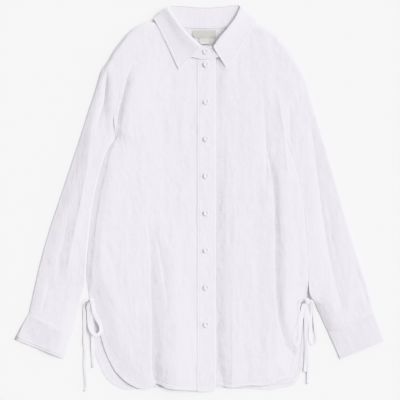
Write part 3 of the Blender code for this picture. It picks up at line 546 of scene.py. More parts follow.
def overlapped(grid, piece):
    """The same grid with the cloth on the left of each steep crease over the cloth on its right."""
    x, y = grid[..., 0].copy(), grid[..., 1]
    for path in steep_creases(piece):
        off, depth = beside(x, y, path)
        shift = np.tanh(off / OVERLAP_START) * np.exp(-np.abs(off) / OVERLAP_REACH)
        grid[..., 0] -= shift * depth * OVERLAP
    return grid


def ripple(across, along, strength=1.0):
    """The small ups and downs of washed linen, longer along the grain than across it."""
    height = np.zeros(np.shape(across))
    for size_across, size_along, amount, seed in RIPPLES:
        bend = noise(across / RIPPLE_BEND_SIZE[0], along / RIPPLE_BEND_SIZE[1], seed + 1)
        height += amount * noise(across / size_across + RIPPLE_BEND * bend, along / size_along, seed)
    return height * strength


# Heights of the cloth at each x and y


def roll(distance, reach):
    """0 on a folded edge and 1 from reach inwards, upright at the edge like a round fold."""
    share = np.clip(distance / reach, 0, 1)
    return np.sqrt(np.maximum(1 - (1 - share) ** 2, 0))


def eased(share):
    """0 on a folded edge and 1 where the share reaches 1, easing off like a soft fold."""
    share = np.clip(share, 0, 1)
    return share * (2 - share)


def neck_lift(x, y):
    """1 at the back neck seam and 0 beyond the reach of the collar leaf under the back."""
    return 1 - smooth_step(distance_to(x, y, NECK_BACK), 0, NECK_LIFT_REACH)


def top_height(x, y):
    """The upper cloth's middle surface, away from its edges and creases."""
    rise = smooth_step(np.abs(x - CENTRE_X), MIDDLE_REACH, SIDE_REACH)
    return MIDDLE_HEIGHT + (SIDE_HEIGHT - MIDDLE_HEIGHT) * rise + ripple(x, y)


def back_bed(x, y):
    """The back away from its sewn edges: flat on the surface, and over the collar leaf."""
    return BACK_FLOOR + NECK_LIFT * neck_lift(x, y)


def edge_height(x, y):
    """A folded edge: low, and higher where the left side and sleeve lie against each other."""
    from_sleeve = smooth_step(distance_to(x, y, SLEEVE_INNER["left"]), *ABUT_REACH)
    return EDGE_HEIGHT + ABUT_LIFT * (1 - from_sleeve) * smooth_step(y, *ABUT_FADE)


def back_height(x, y):
    """The back, which rises to the folded edges at its shoulders and sides."""
    closed = distance_to(x, y, *SHOULDER.values(), *SIDE.values())
    edge = edge_height(x, y) + NECK_EDGE_LIFT * neck_lift(x, y)
    bed = back_bed(x, y) + np.maximum(ripple(x, y, BACK_RIPPLE), 0)
    return edge + (bed - edge) * roll(closed, ROLL_BELOW)


def side_rise(x, y, side):
    """0 on a front's side seam, and 1 where it has risen to its full height."""
    away = distance_to(x, y, SIDE[side])
    if side == "left":
        return roll(away, SIDE_ROLL[side])
    slope_y, slope_width = np.array(SIDE_SLOPE, float).T
    width = np.interp(y, slope_y, slope_width) * smooth_step(-x, *SLOPE_START_X)
    first = SLOPE_SHARE * smooth_step(width, 0, SLOPE_FULL_WIDTH)
    slope = first * np.minimum(away / np.maximum(width, 1), 1)
    return slope + (1 - first) * eased((away - width) / SIDE_ROLL[side])


def front_height(x, y, side):
    """A front, which settles towards its hem and slit. At the opening the left one dips under the
    right one, and the right one keeps clear of it."""
    from_hem = smooth_step(distance_to(x, y, HEM_FRONT[side]), 0, FREE_EDGE_REACH)
    from_slit = smooth_step(distance_to(x, y, SLIT_FRONT[side]), 0, FREE_EDGE_REACH)
    at_hem = HEM_SHARE + (1 - HEM_SHARE) * from_hem
    at_slit = SLIT_SHARE + (1 - SLIT_SHARE) * from_slit
    height = LOWEST_TOP + (top_height(x, y) - LOWEST_TOP) * np.minimum(at_hem, at_slit)
    height = np.maximum(height - crease_depth(x, y, "front_" + side), LOWEST_TOP)
    if side == "left":
        lap = 1 - smooth_step(x, LAP_END_X, LAP_END_X + LAP_FADE)
        height = np.maximum(height - LAP_DROP * lap, LOWEST_TOP)
    else:
        lap = smooth_step(x, LAP_START_X - LAP_FADE, LAP_START_X)
        height = np.maximum(height, LOWEST_TOP + LAP_DROP * lap)
    edge = edge_height(x, y) + NECK_EDGE_LIFT * neck_lift(x, y)
    from_shoulder = eased(distance_to(x, y, SHOULDER[side]) / SHOULDER_ROLL)
    return edge + (height - edge) * np.minimum(side_rise(x, y, side), from_shoulder)


def placket_height(x, y):
    """The placket, on the right front and turned down over its free edge."""
    reach, drop = PLACKET_FOLD
    fold = drop * smooth_step(x, FREE_EDGE_X - reach, FREE_EDGE_X + PLACKET_OVERHANG)
    return front_height(x, y, "right") + PLACKET_RIDE - fold


def sleeve_height(x, y, side):
    """A sleeve's upper surface: level with the front at the armhole, then with its creases and lean."""
    fade = smooth_step(distance_to(x, y, ARMHOLE[side]), 0, ARMHOLE_FADE)
    from_outer, from_inner = distance_to(x, y, SLEEVE_OUTER[side]), distance_to(x, y, SLEEVE_INNER[side])
    lean = SLEEVE_LEAN[side] * from_inner / np.maximum(from_outer + from_inner, 1)
    free = np.maximum(top_height(x, y) - crease_depth(x, y, "sleeve_" + side) - lean, LOWEST_TOP)
    sewn_on = np.maximum(top_height(x, y) - crease_depth(x, y, "front_" + side), LOWEST_TOP)
    return sewn_on + (free - sewn_on) * fade


def cuff_height(x, y, side):
    """A cuff's upper surface, which leans down towards -x and towards its hand end."""
    centre = np.mean(CUFF_OUTER[side] + CUFF_INNER[side], axis=0)
    lean = CUFF_LEAN[side][0] * (x - centre[0]) + CUFF_LEAN[side][1] * (y - centre[1])
    return np.maximum(CUFF_HEIGHT + lean + ripple(x, y, CUFF_RIPPLE), CUFF_LOWEST)


# Meshes


def add_object(name, data):
    thing = bpy.data.objects.new(name, data)
    bpy.context.collection.objects.link(thing)
    return thing


def finished_mesh(name, bm):
    """A mesh from the edited one, which is freed."""
    mesh = bpy.data.meshes.new(name)
    bm.to_mesh(mesh)
    bm.free()
    return mesh


def grid_normals(grid, ring=False):
    """Unit normals of a grid of points; a ring's columns join up."""
    if ring:
        across = np.roll(grid, -1, axis=1) - np.roll(grid, 1, axis=1)
    else:
        across = np.gradient(grid, axis=1)
    return unit(np.cross(across, np.gradient(grid, axis=0)))


def new_mesh(name, verts, faces, material, cloth=None, sewn=None):
    """A smooth mesh object from points in millimetres. cloth holds each point's place along the
    threads, and sewn how far inside the nearest row of stitches it lies."""
    bare = bpy.data.meshes.new(name)
    bare.from_pydata((np.asarray(verts) * MM).tolist(), [], faces)
    bm = bmesh.new()
    bm.from_mesh(bare)
    bpy.data.meshes.remove(bare)
    bmesh.ops.recalc_face_normals(bm, faces=bm.faces)
    mesh = finished_mesh(name, bm)
    mesh.shade_smooth()
    mesh.set_sharp_from_angle(angle=SHARP_ANGLE)
    mesh.materials.append(material)
    if cloth is not None:
        mesh.attributes.new("cloth", "FLOAT_VECTOR", "POINT").data.foreach_set("vector", np.ravel(cloth))
        mesh.attributes.new("sewn", "FLOAT", "POINT").data.foreach_set("value", np.ravel(sewn))
    return add_object(name, mesh)


def shell(name, grid, wall, material, ring=False, cloth=None, sewn=None):
    """A closed thin shell about a grid of middle points, with rounded edges."""
    rows, columns = grid.shape[:2]
    if cloth is None:
        cloth = with_height(grid[..., :2], np.zeros((rows, columns)))
    if sewn is None:
        sewn = np.full((rows, columns), NOT_SEWN)
    index = np.arange(rows * columns).reshape(rows, columns)
    if ring:
        loops = [(index[0], grid[0], grid[1]), (index[-1], grid[-1], grid[-2])]
        index = np.hstack([index, index[:, :1]])
    else:
        around = np.concatenate([index[0], index[1:, -1], index[-1, -2::-1], index[-2:0:-1, 0]])
        row, column = around // columns, around % columns
        inner = grid[np.clip(row, 1, rows - 2), np.clip(column, 1, columns - 2)]
        loops = [(around, grid[row, column], inner)]
    total = rows * columns
    middle, half = grid.reshape(-1, 3), grid_normals(grid, ring).reshape(-1, 3) * wall / 2
    verts, source = [middle + half, middle - half], [np.arange(total), np.arange(total)]
    quads = np.stack([index[:-1, :-1], index[:-1, 1:], index[1:, 1:], index[1:, :-1]], axis=2).reshape(-1, 4)
    faces = [quads, quads[:, ::-1] + total]
    start = 2 * total
    for loop, edge, inner in loops:
        rim = start + np.arange(len(loop))
        start += len(loop)
        verts.append(edge + unit(edge - inner) * wall * RIM_SHARE)
        source.append(loop)
        for a, b in ((loop, rim), (rim, loop + total)):
            faces.append(np.stack([a, np.roll(a, -1), np.roll(b, -1), b], axis=1))
    source = np.concatenate(source)
    cloth, sewn = cloth.reshape(-1, 3)[source], sewn.reshape(-1)[source]
    return new_mesh(name, np.vstack(verts), np.vstack(faces).tolist(), material, cloth, sewn)


def tube_faces(index, closed=False):
    """The faces between the rings of a tube, and on its ends unless the tube is closed."""
    following = np.roll(index, -1, axis=0)
    a, b = (index, following) if closed else (index[:-1], following[:-1])
    faces = np.stack([a, np.roll(a, -1, axis=1), np.roll(b, -1, axis=1), b], axis=2).reshape(-1, 4).tolist()
    return faces if closed else faces + [index[0].tolist()[::-1], index[-1].tolist()]


def tape_mesh(name, centres, width, thickness, material, turn=0.0, closed=False):
    """A soft flat tape swept along its centre line, leaning about that line by turn, in radians."""
    if closed:
        along = unit(np.roll(centres, -1, axis=0) - np.roll(centres, 1, axis=0))
    else:
        along = unit(np.gradient(centres, axis=0))
    side = unit(np.cross(along, [0, 0, 1.0]))
    up = np.cross(side, along)
    lean = np.broadcast_to(turn, len(centres))[:, None]
    side, up = side * np.cos(lean) + up * np.sin(lean), up * np.cos(lean) - side * np.sin(lean)
    angle = np.linspace(0, 2 * np.pi, CORD_SIDES, endpoint=False)
    across = np.sign(np.cos(angle)) * np.abs(np.cos(angle)) ** TAPE_SQUARENESS[0] * width / 2
    over = np.sign(np.sin(angle)) * np.abs(np.sin(angle)) ** TAPE_SQUARENESS[1] * thickness / 2
    rings = centres[:, None] + side[:, None] * across[None, :, None] + up[:, None] * over[None, :, None]
    index = np.arange(len(centres) * CORD_SIDES).reshape(-1, CORD_SIDES)
    cloth = thread_places(across[None] + CORD_THREADS, length_along(centres)[:, None])
    sewn = np.full(index.size, NOT_SEWN)
    return new_mesh(name, rings.reshape(-1, 3), tube_faces(index, closed), material, cloth, sewn)


def join(name, parts):
    """One object from several meshes."""
    with bpy.context.temp_override(active_object=parts[0], selected_editable_objects=parts):
        bpy.ops.object.join()
    parts[0].name = name
    return parts[0]


def dress(piece, slot, *nodes):
    """A piece that rides with the shirt and stands for these solids, which it hides. Its slot is not used."""
    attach(piece, "root")
    if nodes:
        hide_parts(*nodes)
    return piece


def cloth_piece(node, grid, material, flat, wall=WALL, held="laid", rests_on=(), area=None, **look):
    """A cut piece of the shirt as a thin shell. Its flat size as it is cut is not used."""
    piece = dress(shell("cloth_" + node, grid, wall, material, **look), "linen", node)


# Materials

LINEN = ((0.665, 0.650, 0.690, 1), (0.755, 0.738, 0.780, 1))
# A darker copy of the cloth's linen for the cuffs: painted shade, not a different cloth.
CUFF_SHADED_LINEN = ((0.655, 0.639, 0.680, 1), (0.735, 0.717, 0.761, 1))
CORD = ((0.76, 0.743, 0.785, 1), (0.81, 0.793, 0.835, 1))
LABEL = ((0.46, 0.455, 0.425, 1), (0.54, 0.535, 0.505, 1))
SIZE_TAPE = ((0.57, 0.56, 0.535, 1), (0.65, 0.64, 0.615, 1))
PEARL = ((0.57, 0.57, 0.605, 1), (0.73, 0.73, 0.755, 1))
THREAD_COLOUR = (0.76, 0.745, 0.79, 1)
FLOOR_COLOUR = (0.82, 0.82, 0.82, 1)
WEAVE_SCALE = 0.36
SLUB_SIZES = [(1.1, 0.035, 1), (0.04, 1.2, 1)]
CLOUD_SIZE = (0.05, 0.03, 1)
WRINKLE_SIZE = (0.06, 0.035, 1)
CRUMPLE = 4.0
THROUGH_WEIGHT = 0.6
THROUGH_DEPTH = 0.0012


class Nodes:
    """Small helper to build a tree of nodes round its main one, and link them."""

    def __init__(self, owner, main):
        owner.use_nodes = True
        self.owner = owner
        self.tree = owner.node_tree
        self.main = self.tree.nodes[main]

    def put(self, node, inputs):
        """Give a node's sockets their values, or link them to other nodes."""
        for key, value in inputs.items():
            if isinstance(value, bpy.types.NodeSocket):
                self.tree.links.new(value, node.inputs[key])
            else:
                node.inputs[key].default_value = value

    def add(self, kind, inputs=None, **settings):
        node = self.tree.nodes.new(kind)
        for key, value in settings.items():
            setattr(node, key, value)
        self.put(node, inputs or {})
        return node

    def math(self, operation, a, b=0.0):
        return self.add("ShaderNodeMath", {0: a, 1: b}, operation=operation).outputs[0]

    def weighted(self, a, a_share, b, b_share):
        """The sum of two values, each times its share."""
        return self.math("ADD", self.math("MULTIPLY", a, a_share), self.math("MULTIPLY", b, b_share))

    def attribute(self, name, output):
        return self.add("ShaderNodeAttribute", attribute_name=name).outputs[output]

    def place(self, output="Object"):
        return self.add("ShaderNodeTexCoord").outputs[output]

    def scaled(self, vector, scale):
        return self.add("ShaderNodeMapping", {"Vector": vector, "Scale": scale}).outputs[0]

    def noise(self, vector, scale, detail=2.0):
        inputs = {"Vector": self.scaled(vector, scale), "Scale": 1.0, "Detail": detail}
        return self.add("ShaderNodeTexNoise", inputs).outputs["Fac"]

    def wave(self, vector, scale, direction, distortion):
        inputs = {"Vector": vector, "Scale": scale, "Distortion": distortion, "Detail": 1.0}
        return self.add("ShaderNodeTexWave", inputs, bands_direction=direction).outputs["Fac"]

    def weave(self, vector, across, along, distortion):
        """The threads that cross in a plain weave."""
        warp, weft = self.wave(vector, across, "X", distortion), self.wave(vector, along, "Y", distortion)
        return self.math("MULTIPLY", warp, weft)

    def ramp(self, value, low, high, to_low=0.0, to_high=1.0):
        inputs = {"Value": value, 1: low, 2: high, 3: to_low, 4: to_high}
        return self.add("ShaderNodeMapRange", inputs, interpolation_type="SMOOTHSTEP").outputs[0]

    def mixed(self, share, colours):
        inputs = {"Factor": share, 6: colours[0], 7: colours[1]}
        return self.add("ShaderNodeMix", inputs, data_type="RGBA").outputs[2]

    def finish(self, colour, roughness, bump=None, distance=0.0, sheen=0.0, specular=0.3, **more):
        """The material with its colour and surface; bump is a height and distance its scale."""
        self.put(self.main, {"Base Color": colour, "Roughness": roughness, "Sheen Weight": sheen})
        self.put(self.main, {"Specular IOR Level": specular, **more})
        if bump is not None:
            node = self.add("ShaderNodeBump", {"Height": bump, "Distance": distance, "Strength": 1.0})
            self.put(self.main, {"Normal": node.outputs[0]})
        return self.owner


def material_nodes(name):
    return Nodes(bpy.data.materials.new(name), "Principled BSDF")


def linen_material(name, colours):
    """Washed linen: a plain weave with thick and thin yarns, soft crumples, and sewn grooves where
    it is stitched. Some light shines through the thin cloth."""
    n = material_nodes(name)
    cloth = n.attribute("cloth", "Vector")
    down, across = (n.noise(cloth, size) for size in SLUB_SIZES)
    slubs = n.math("MAXIMUM", n.ramp(down, 0.52, 0.72), n.ramp(across, 0.55, 0.75))
    shade = n.weighted(slubs, 0.45, n.noise(cloth, CLOUD_SIZE, 3.0), 0.55)
    sewn = n.attribute("sewn", "Fac")
    groove = n.ramp(n.math("ABSOLUTE", sewn), 0.2, 1.5)
    seams = n.weighted(groove, 1.1, n.ramp(sewn, -0.4, 0.9, 1.0, 0.0), 0.8)
    yarns = n.weighted(n.weave(cloth, WEAVE_SCALE, WEAVE_SCALE, 1.2), 0.22, slubs, 0.30)
    wrinkle = n.math("SUBTRACT", n.noise(cloth, WRINKLE_SIZE, 3.0), 0.5)
    crumple = n.math("MULTIPLY", n.math("ABSOLUTE", wrinkle), CRUMPLE)
    height = n.math("ADD", n.math("ADD", yarns, seams), crumple)
    through = {
        "Subsurface Weight": THROUGH_WEIGHT,
        "Subsurface Radius": (1, 1, 1),
        "Subsurface Scale": THROUGH_DEPTH,
    }
    colour = n.mixed(n.ramp(shade, 0.15, 0.75), colours)
    return n.finish(colour, 0.86, height, 0.0004, sheen=0.15, specular=0.15, **through)


def label_material(name, colours):
    """Woven tape in plain cream, finer than the linen."""
    n = material_nodes(name)
    cloth = n.attribute("cloth", "Vector")
    weave = n.weave(cloth, 0.9, 0.7, 0.4)
    share = n.weighted(weave, 0.5, n.noise(cloth, (0.2, 0.3, 1)), 0.5)
    return n.finish(n.mixed(share, colours), 0.6, weave, 0.00015, sheen=0.1)


def thread_material():
    """Spun sewing thread with a fine twist."""
    n = material_nodes("thread")
    twist = n.wave(n.scaled(n.place(), (1000, 1000, 1000)), 0.7, "DIAGONAL", 0.5)
    return n.finish(THREAD_COLOUR, 0.6, twist, 0.0001, sheen=0.1)


def pearl_material():
    """Pale mother-of-pearl with soft cloudy bands under a clear polish."""
    n = material_nodes("pearl_shell")
    cloudy = n.noise(n.place(), (180, 420, 200), 3.0)
    bands = n.wave(n.scaled(n.place(), (300, 300, 300)), 0.5, "DIAGONAL", 6.0)
    colour = n.mixed(n.ramp(n.weighted(cloudy, 0.7, bands, 0.3), 0.25, 0.75), PEARL)
    polish = {"Coat Weight": 0.5, "Coat Roughness": 0.08}
    return n.finish(colour, n.ramp(cloudy, 0.3, 0.7, 0.22, 0.34), specular=0.5, **polish)


# Camera first, then the cords

CORD_STEP = 1.4
CORD_DROP = 1.4
CORD_SIDES = 12
CORD_THREADS = 50.0
CORD_LEAN = 0.5
CORD_LEAN_LENGTH = 28.0
TAPE_SQUARENESS = (0.7, 0.8)

# The knots' tape, width and thickness, and its wraps: two tilts and the place along the knot. The
# core of a bow's knot has shares of the knot's half sizes.
CORE_WIDTH = 1.15
CORE_LENGTH = 0.8
CORE_THICKNESS = 1.2
CORE_BEND = 0.2
KNOT_TAPE = (4.2, 1.6)
KNOT_SHARE = (0.72, 0.9, 0.74)
KNOT_WRAPS = [(0.3, 0.25, -0.55), (-0.2, -0.15, 0.0), (0.15, 0.3, 0.5)]
END_KNOT_TAPE = (1.9, 1.3)
END_KNOT_HALF = (CORD_WIDTH / 2, 1.5, 0.9)
END_KNOT_WRAPS = [(0.5, 0.35, -0.5), (-0.4, -0.4, 0.5)]


def build_camera():
    camera = bpy.data.cameras.new("camera")
    camera.lens = CAMERA_LENS
    camera.sensor_width = SENSOR
    distance = FRAME_PIXELS * PIXEL * CAMERA_LENS / SENSOR
    thing = add_object("camera", camera)
    thing.location = [c * MM for c in (*CAMERA_CENTRE, distance + MIDDLE_HEIGHT)]
    bpy.context.scene.camera = thing


def build_cord(node, route, material):
    """One strand of a tie: a loop goes back to its knot, and a tail ends in a small knot."""
    curve = smooth_curve(route)
    centres = at_shares(curve, np.linspace(0, 1, int(length_along(curve)[-1] / CORD_STEP) + 1))
    along = length_along(centres) / CORD_LEAN_LENGTH
    turn = CORD_LEAN * noise(along, np.zeros(len(centres)), sum(map(ord, node)))
    low = (WALL + CORD_THICKNESS + np.abs(np.sin(turn)) * TAPE_WIDTH) / 2
    centres[:, 2] = np.maximum(centres[:, 2] - CORD_DROP, low)
    tape = tape_mesh(node + "_tape", centres, TAPE_WIDTH, CORD_THICKNESS, material, turn)
    cord = dress(tape, "linen", node)
    is_loop = "loop" in node
    pieces = [] if is_loop else [dress(build_end_knot(node + "_end", centres[-1], material), "linen")]


def wrap_rings(centre, half, wraps):
    """Closed rings round a knot, one for each of its wraps."""
    t = np.linspace(0, 2 * np.pi, 40, endpoint=False)
    rings = []
    for tilt_x, tilt_y, share in wraps:
        ring = np.stack([np.cos(t) * half[0], share * half[1] + 0 * t, np.sin(t) * half[2]], axis=1)
        ring[:, 1] += tilt_y * ring[:, 0] + tilt_x * ring[:, 2]
        rings.append(ring + centre)
    return rings


def build_end_knot(name, place, material):
    """The small overhand knot that ends a tail."""
    rings = wrap_rings(place + (0, 0.6, 0), END_KNOT_HALF, END_KNOT_WRAPS)
    return join(name, [tape_mesh(name, ring, *END_KNOT_TAPE, material, closed=True) for ring in rings])


def build_knot(node, centre, half, material):
    """A bow's knot: tape wound across a soft core."""
    centre, half = np.array(centre), np.array(half)
    rings = wrap_rings(centre, half * KNOT_SHARE, KNOT_WRAPS)
    parts = [tape_mesh(node, ring, *KNOT_TAPE, material, closed=True) for ring in rings]
    t = np.linspace(-1, 1, 15)
    core = centre + np.stack([0 * t, t * half[1] * CORE_LENGTH, CORE_BEND * np.sin(t * 3)], axis=1)
    parts.append(tape_mesh(node, core, half[0] * CORE_WIDTH, half[2] * CORE_THICKNESS, material))
    dress(join(node + "_wraps", parts), "linen", node)


# The panels

ARMHOLE_ROWS = 60
SIDE_ROWS = 120
SLIT_ROWS = 66
SHOULDER_COLUMNS = {"back": 40, "right": 90, "left": 82}
NECK_COLUMNS = {"back": 60, "right": 82, "left": 84}
PLACKET_COLUMNS = 24
PLACKET_ROWS = 250


def side_bands():
    """The shares of a panel's rows along its armhole, side seam and slit."""
    return [shares_of(ARMHOLE_ROWS, start=True), shares_of(SIDE_ROWS), shares_of(SLIT_ROWS, end=True)]


def panel_side(side, slit):
    """A panel's outer boundary: armhole, side seam and slit."""
    return joined(zip((ARMHOLE[side], SIDE[side], slit[side]), side_bands()))


def opening_edge(x, hem_y):
    """The straight free edge of a front, with rows that match its outer side."""
    y = (*OPENING_Y, hem_y)
    return joined(([(x, y[i]), (x, y[i + 1])], band) for i, band in enumerate(side_bands()))


def hem_distance(flat, *outlines):
    """How far inside the row of stitches along these edges each point lies."""
    return distance_to(*xy(flat), *outlines) - HEM_INSET


def build_back(material):
    """The back, in one piece between both its outer boundaries."""
    shoulder, neck = SHOULDER_COLUMNS["back"], NECK_COLUMNS["back"]
    top = joined([
        (SHOULDER["right"], shares_of(shoulder, start=True)),
        (NECK_BACK, shares_of(neck)),
        (SHOULDER["left"], shares_of(shoulder, end=True)),
    ])
    bottom = joined([(HEM_BACK, shares_of(2 * shoulder + neck, start=True, end=True))])
    flat = filled(top, bottom, panel_side("right", SLIT_BACK), panel_side("left", SLIT_BACK))
    grid = with_height(flat, back_height(*xy(flat)))
    sewn = hem_distance(flat, HEM_BACK, *SLIT_BACK.values())
    cloth_piece("back", grid, material, (0.445, 0.745), area=0.286, sewn=sewn)


def build_front(side, material, size, area):
    """A front. The rows of its grid run towards +x: from the outer boundary on the right front,
    and from the free edge on the left one."""
    node, hem = "front_" + side, HEM_FRONT[side]
    shoulder, neck = SHOULDER_COLUMNS[side], NECK_COLUMNS[side]
    is_right = side == "right"
    turned = {"start": is_right, "end": not is_right}
    top = [(SHOULDER[side], shares_of(shoulder, **turned)), (NECK_FRONT[side], shares_of(neck))]
    bottom = [(hem, shares_of(shoulder + neck, **turned))]
    sides = [panel_side(side, SLIT_FRONT), opening_edge(*hem[-1 if is_right else 0])]
    order = 1 if is_right else -1
    flat = gathered(filled(joined(top[::order]), joined(bottom), *sides[::order]), node)
    grid = overlapped(with_height(flat, front_height(*xy(flat), side)), node)
    sewn = hem_distance(flat, SLIT_FRONT[side], hem)
    cloth_piece(node, grid, material, size, rests_on=["cloth_back"], area=area, sewn=sewn)


def build_placket(material):
    """The strip on the free edge, made from the front's own surface and moved out."""
    across, down = (shares_of(steps, start=True, end=True) for steps in (PLACKET_COLUMNS, PLACKET_ROWS))
    x = FREE_EDGE_X + PLACKET_OVERHANG - PLACKET_WIDTH * (1 - across)
    y = PLACKET_TOP_Y + (HEM_FRONT["right"][-1][1] - PLACKET_TOP_Y) * down
    gx, gy = np.meshgrid(x, y)
    sewn = np.minimum(np.minimum(gx - x[0], x[-1] - gx), gy - y[-1]) - PLACKET_INSET
    grid = np.stack([gx, gy, placket_height(gx, gy)], axis=2)
    cloth_piece("placket", grid, material, (0.036, 0.666), rests_on=["cloth_front_right"], sewn=sewn)


# Sleeves and cuffs

RING_TOP = 64
RING_BELOW = 30
SLEEVE_SECTIONS = 210
SLEEVE_CAP_SHARE = 0.45
ROLL_FADE = 90.0
FREE_ROLL = 34.0
ARMHOLE_FADE = 20.0
CUFF_SECTIONS = 26
UNDERSIDE_RIPPLES = 500.0
SLEEVE_THREADS = 700.0


def tube_grid(side, outer, inner, sections, height, bottom, first_line=None):
    """A flattened ring at each section: over the top from the outer edge to the inner, then back
    underneath. first_line bends the first sections to a curved seam."""
    o, i = at_shares(smooth_curve(outer), sections), at_shares(smooth_curve(inner), sections)
    over_shares = shares_of(RING_TOP, start=True, end=True)
    under_shares = 1 - shares_of(RING_BELOW, start=True, end=True)[1:-1]
    shares = np.concatenate([over_shares, under_shares])
    flat = o[:, None] + (i - o)[:, None] * shares[None, :, None]
    reach = OUTER_ROLL[side]
    if first_line is not None:
        bend = at_shares(smooth_curve(first_line), shares) - flat[0]
        fade = 1 - smooth_step(np.array(sections), 0, SLEEVE_CAP_SHARE)
        flat = flat + bend[None] * fade[:, None, None]
        below_armhole = smooth_step(distance_to(*xy(flat), first_line), 0, ROLL_FADE)
        reach = SHOULDER_ROLL + (reach - SHOULDER_ROLL) * below_armhole
    x, y = xy(flat)
    away_outer, away_inner = distance_to(x, y, outer), distance_to(x, y, inner)
    away_outer[:, 0], away_inner[:, RING_TOP] = 0, 0
    free = 1 - smooth_step(y, *ABUT_FADE)
    inner_rise = (1 - free) * roll(away_inner, INNER_ROLL) + free * eased(away_inner / FREE_ROLL)
    edge = edge_height(x, y)
    z = edge + (height(x, y) - edge) * np.minimum(eased(away_outer / reach), inner_rise)
    below = np.s_[:, RING_TOP + 1 :]
    low = bottom + np.maximum(ripple(x[below] + UNDERSIDE_RIPPLES, y[below], BACK_RIPPLE), 0)
    away = np.minimum(away_outer, away_inner)[below]
    z[below] = edge[below] + (low - edge[below]) * roll(away, ROLL_BELOW)
    grid = with_height(flat, z)
    across, down = length_along(grid[len(grid) // 2]), length_along(flat[:, RING_TOP // 2])
    return grid, thread_places(across[None] + SLEEVE_THREADS, down[:, None]), down


def build_sleeve(side, material, area):
    """A sleeve, whose first sections bend to the armhole."""
    height = partial(sleeve_height, side=side)
    sections = shares_of(SLEEVE_SECTIONS)
    outer, inner = SLEEVE_OUTER[side], SLEEVE_INNER[side]
    grid, cloth, _ = tube_grid(side, outer, inner, sections, height, BACK_FLOOR, ARMHOLE[side])
    cloth_piece("sleeve_" + side, grid, material, (0.26, 0.56), area=area, ring=True, cloth=cloth)


def build_cuff(side, material):
    """A cuff, which starts just beyond the sleeve's end."""
    outer, inner = CUFF_OUTER[side], CUFF_INNER[side]
    start = CUFF_GAP / np.linalg.norm(np.subtract(outer[-1], outer[0]))
    sections = start + (1 - start) * shares_of(CUFF_SECTIONS, start=True, end=True)
    grid, cloth, down = tube_grid(side, outer, inner, sections, partial(cuff_height, side=side), CUFF_FLOOR)
    sewn = np.broadcast_to((np.minimum(down, down[-1] - down) - CUFF_INSET)[:, None], grid.shape[:2])
    look = {"wall": TWO_PLY, "ring": True, "cloth": cloth, "sewn": sewn}
    cloth_piece("cuff_" + side, grid, material, (0.2, 0.058), **look)


# Collar

COLLAR_STEPS = 200
STAND_ROWS = 14
STAND_HEIGHT = 30.0
LEAF_ROWS = 34
LEAF_HEIGHT = 45.0
LEAF_FOLD = [(0.2, 0.9), (1.0, -0.6), (-0.6, -3.4)]
PRESSED = [(0, 0), (5, 5), (7, 6.1), (8.2, 6.4), (8.9, 6.7), (10, 7.0), (13, 7.9), (22, 9.1)]
SEAM_LAP = 5.0
SEAM_LAP_LIFT = 0.9
FRONT_OF_COLLAR = (290, 330)
TIP_STEPS = 10
TIP_ROUND_START = 0.45
TIP_ROUND_SHARE = 0.55
LABEL_POINTS = (40, 20)
LABEL_WAVE = 0.3
LABEL_WAVE_LENGTH = 9.0


def pressed(points):
    """The same points with the collar pressed flatter than the solid, as soft linen lies. PRESSED
    has rows of a solid's height and the height it is pressed to."""
    points = np.array(points, float)
    height, lower = np.array(PRESSED, float).T
    points[..., 2] = np.interp(points[..., 2], height, lower)
    return points


def collar_curves():
    """The stand's seam and top, and the leaf's middle and edge, each as points round the neck."""
    rows = pressed([row[1:] for row in COLLAR_SECTIONS])
    curves = np.stack([smooth_curve(rows[:, k], 40) for k in range(4)])
    steps = np.arange(curves.shape[1])
    pick = np.linspace(0, 1, COLLAR_STEPS + 1) * steps[-1]
    return [np.stack([np.interp(pick, steps, column) for column in curve.T], axis=1) for curve in curves]


def edge_distance(grid, edges):
    """For each point of a grid, how far it is along its row or column from the named edges."""
    down, across = (
        np.cumsum(np.linalg.norm(np.diff(grid, axis=k, prepend=np.take(grid, [0], axis=k)), axis=2), axis=k)
        for k in (0, 1)
    )
    found = {"first": down, "last": down[-1:] - down, "left": across, "right": across[:, -1:] - across}
    return np.minimum.reduce([found[edge] for edge in edges])


def stand_tip(seam, top, tip):
    """The stand's seam and top from the end of the collar leaf to its rounded tip."""
    share = np.linspace(0, 1, TIP_STEPS + 1)[1:, None]
    low, high = (start + (end - start) * share for start, end in zip((seam, top), pressed(tip)))
    rounding = np.maximum(share - TIP_ROUND_START, 0) / (1 - TIP_ROUND_START)
    drop = 1 - np.sqrt(np.clip(1 - rounding**2, 0, 1))
    return low, high + (low - high) * TIP_ROUND_SHARE * drop


def build_stand(seam, top, material):
    """The stand rises from the neck seam, and laps over the fronts there."""
    right = stand_tip(seam[0], top[0], STAND_TIPS["right"])
    left = stand_tip(seam[-1], top[-1], STAND_TIPS["left"])
    low, high = (np.vstack([right[k][::-1], line, left[k]]) for k, line in enumerate((seam, top)))
    share = np.linspace(0, 1, STAND_ROWS + 1)[:, None, None]
    lap = unit((low - high) * (1, 1, 0)) * SEAM_LAP + (0, 0, SEAM_LAP_LIFT)
    lap = lap * (1 - smooth_step(low[:, 1:2], *FRONT_OF_COLLAR))
    grid = low + (high - low) * share + lap * (1 - share)
    cloth = thread_places(length_along(low)[None], STAND_HEIGHT * share[..., 0])
    sewn = edge_distance(grid, ("first", "last", "left", "right")) - STAND_INSET
    look = {"wall": STAND_PLY, "held": "folded", "cloth": cloth, "sewn": sewn}
    cloth_piece("collar_stand", grid, material, (0.43, 0.042), rests_on=["cloth_back"], **look)


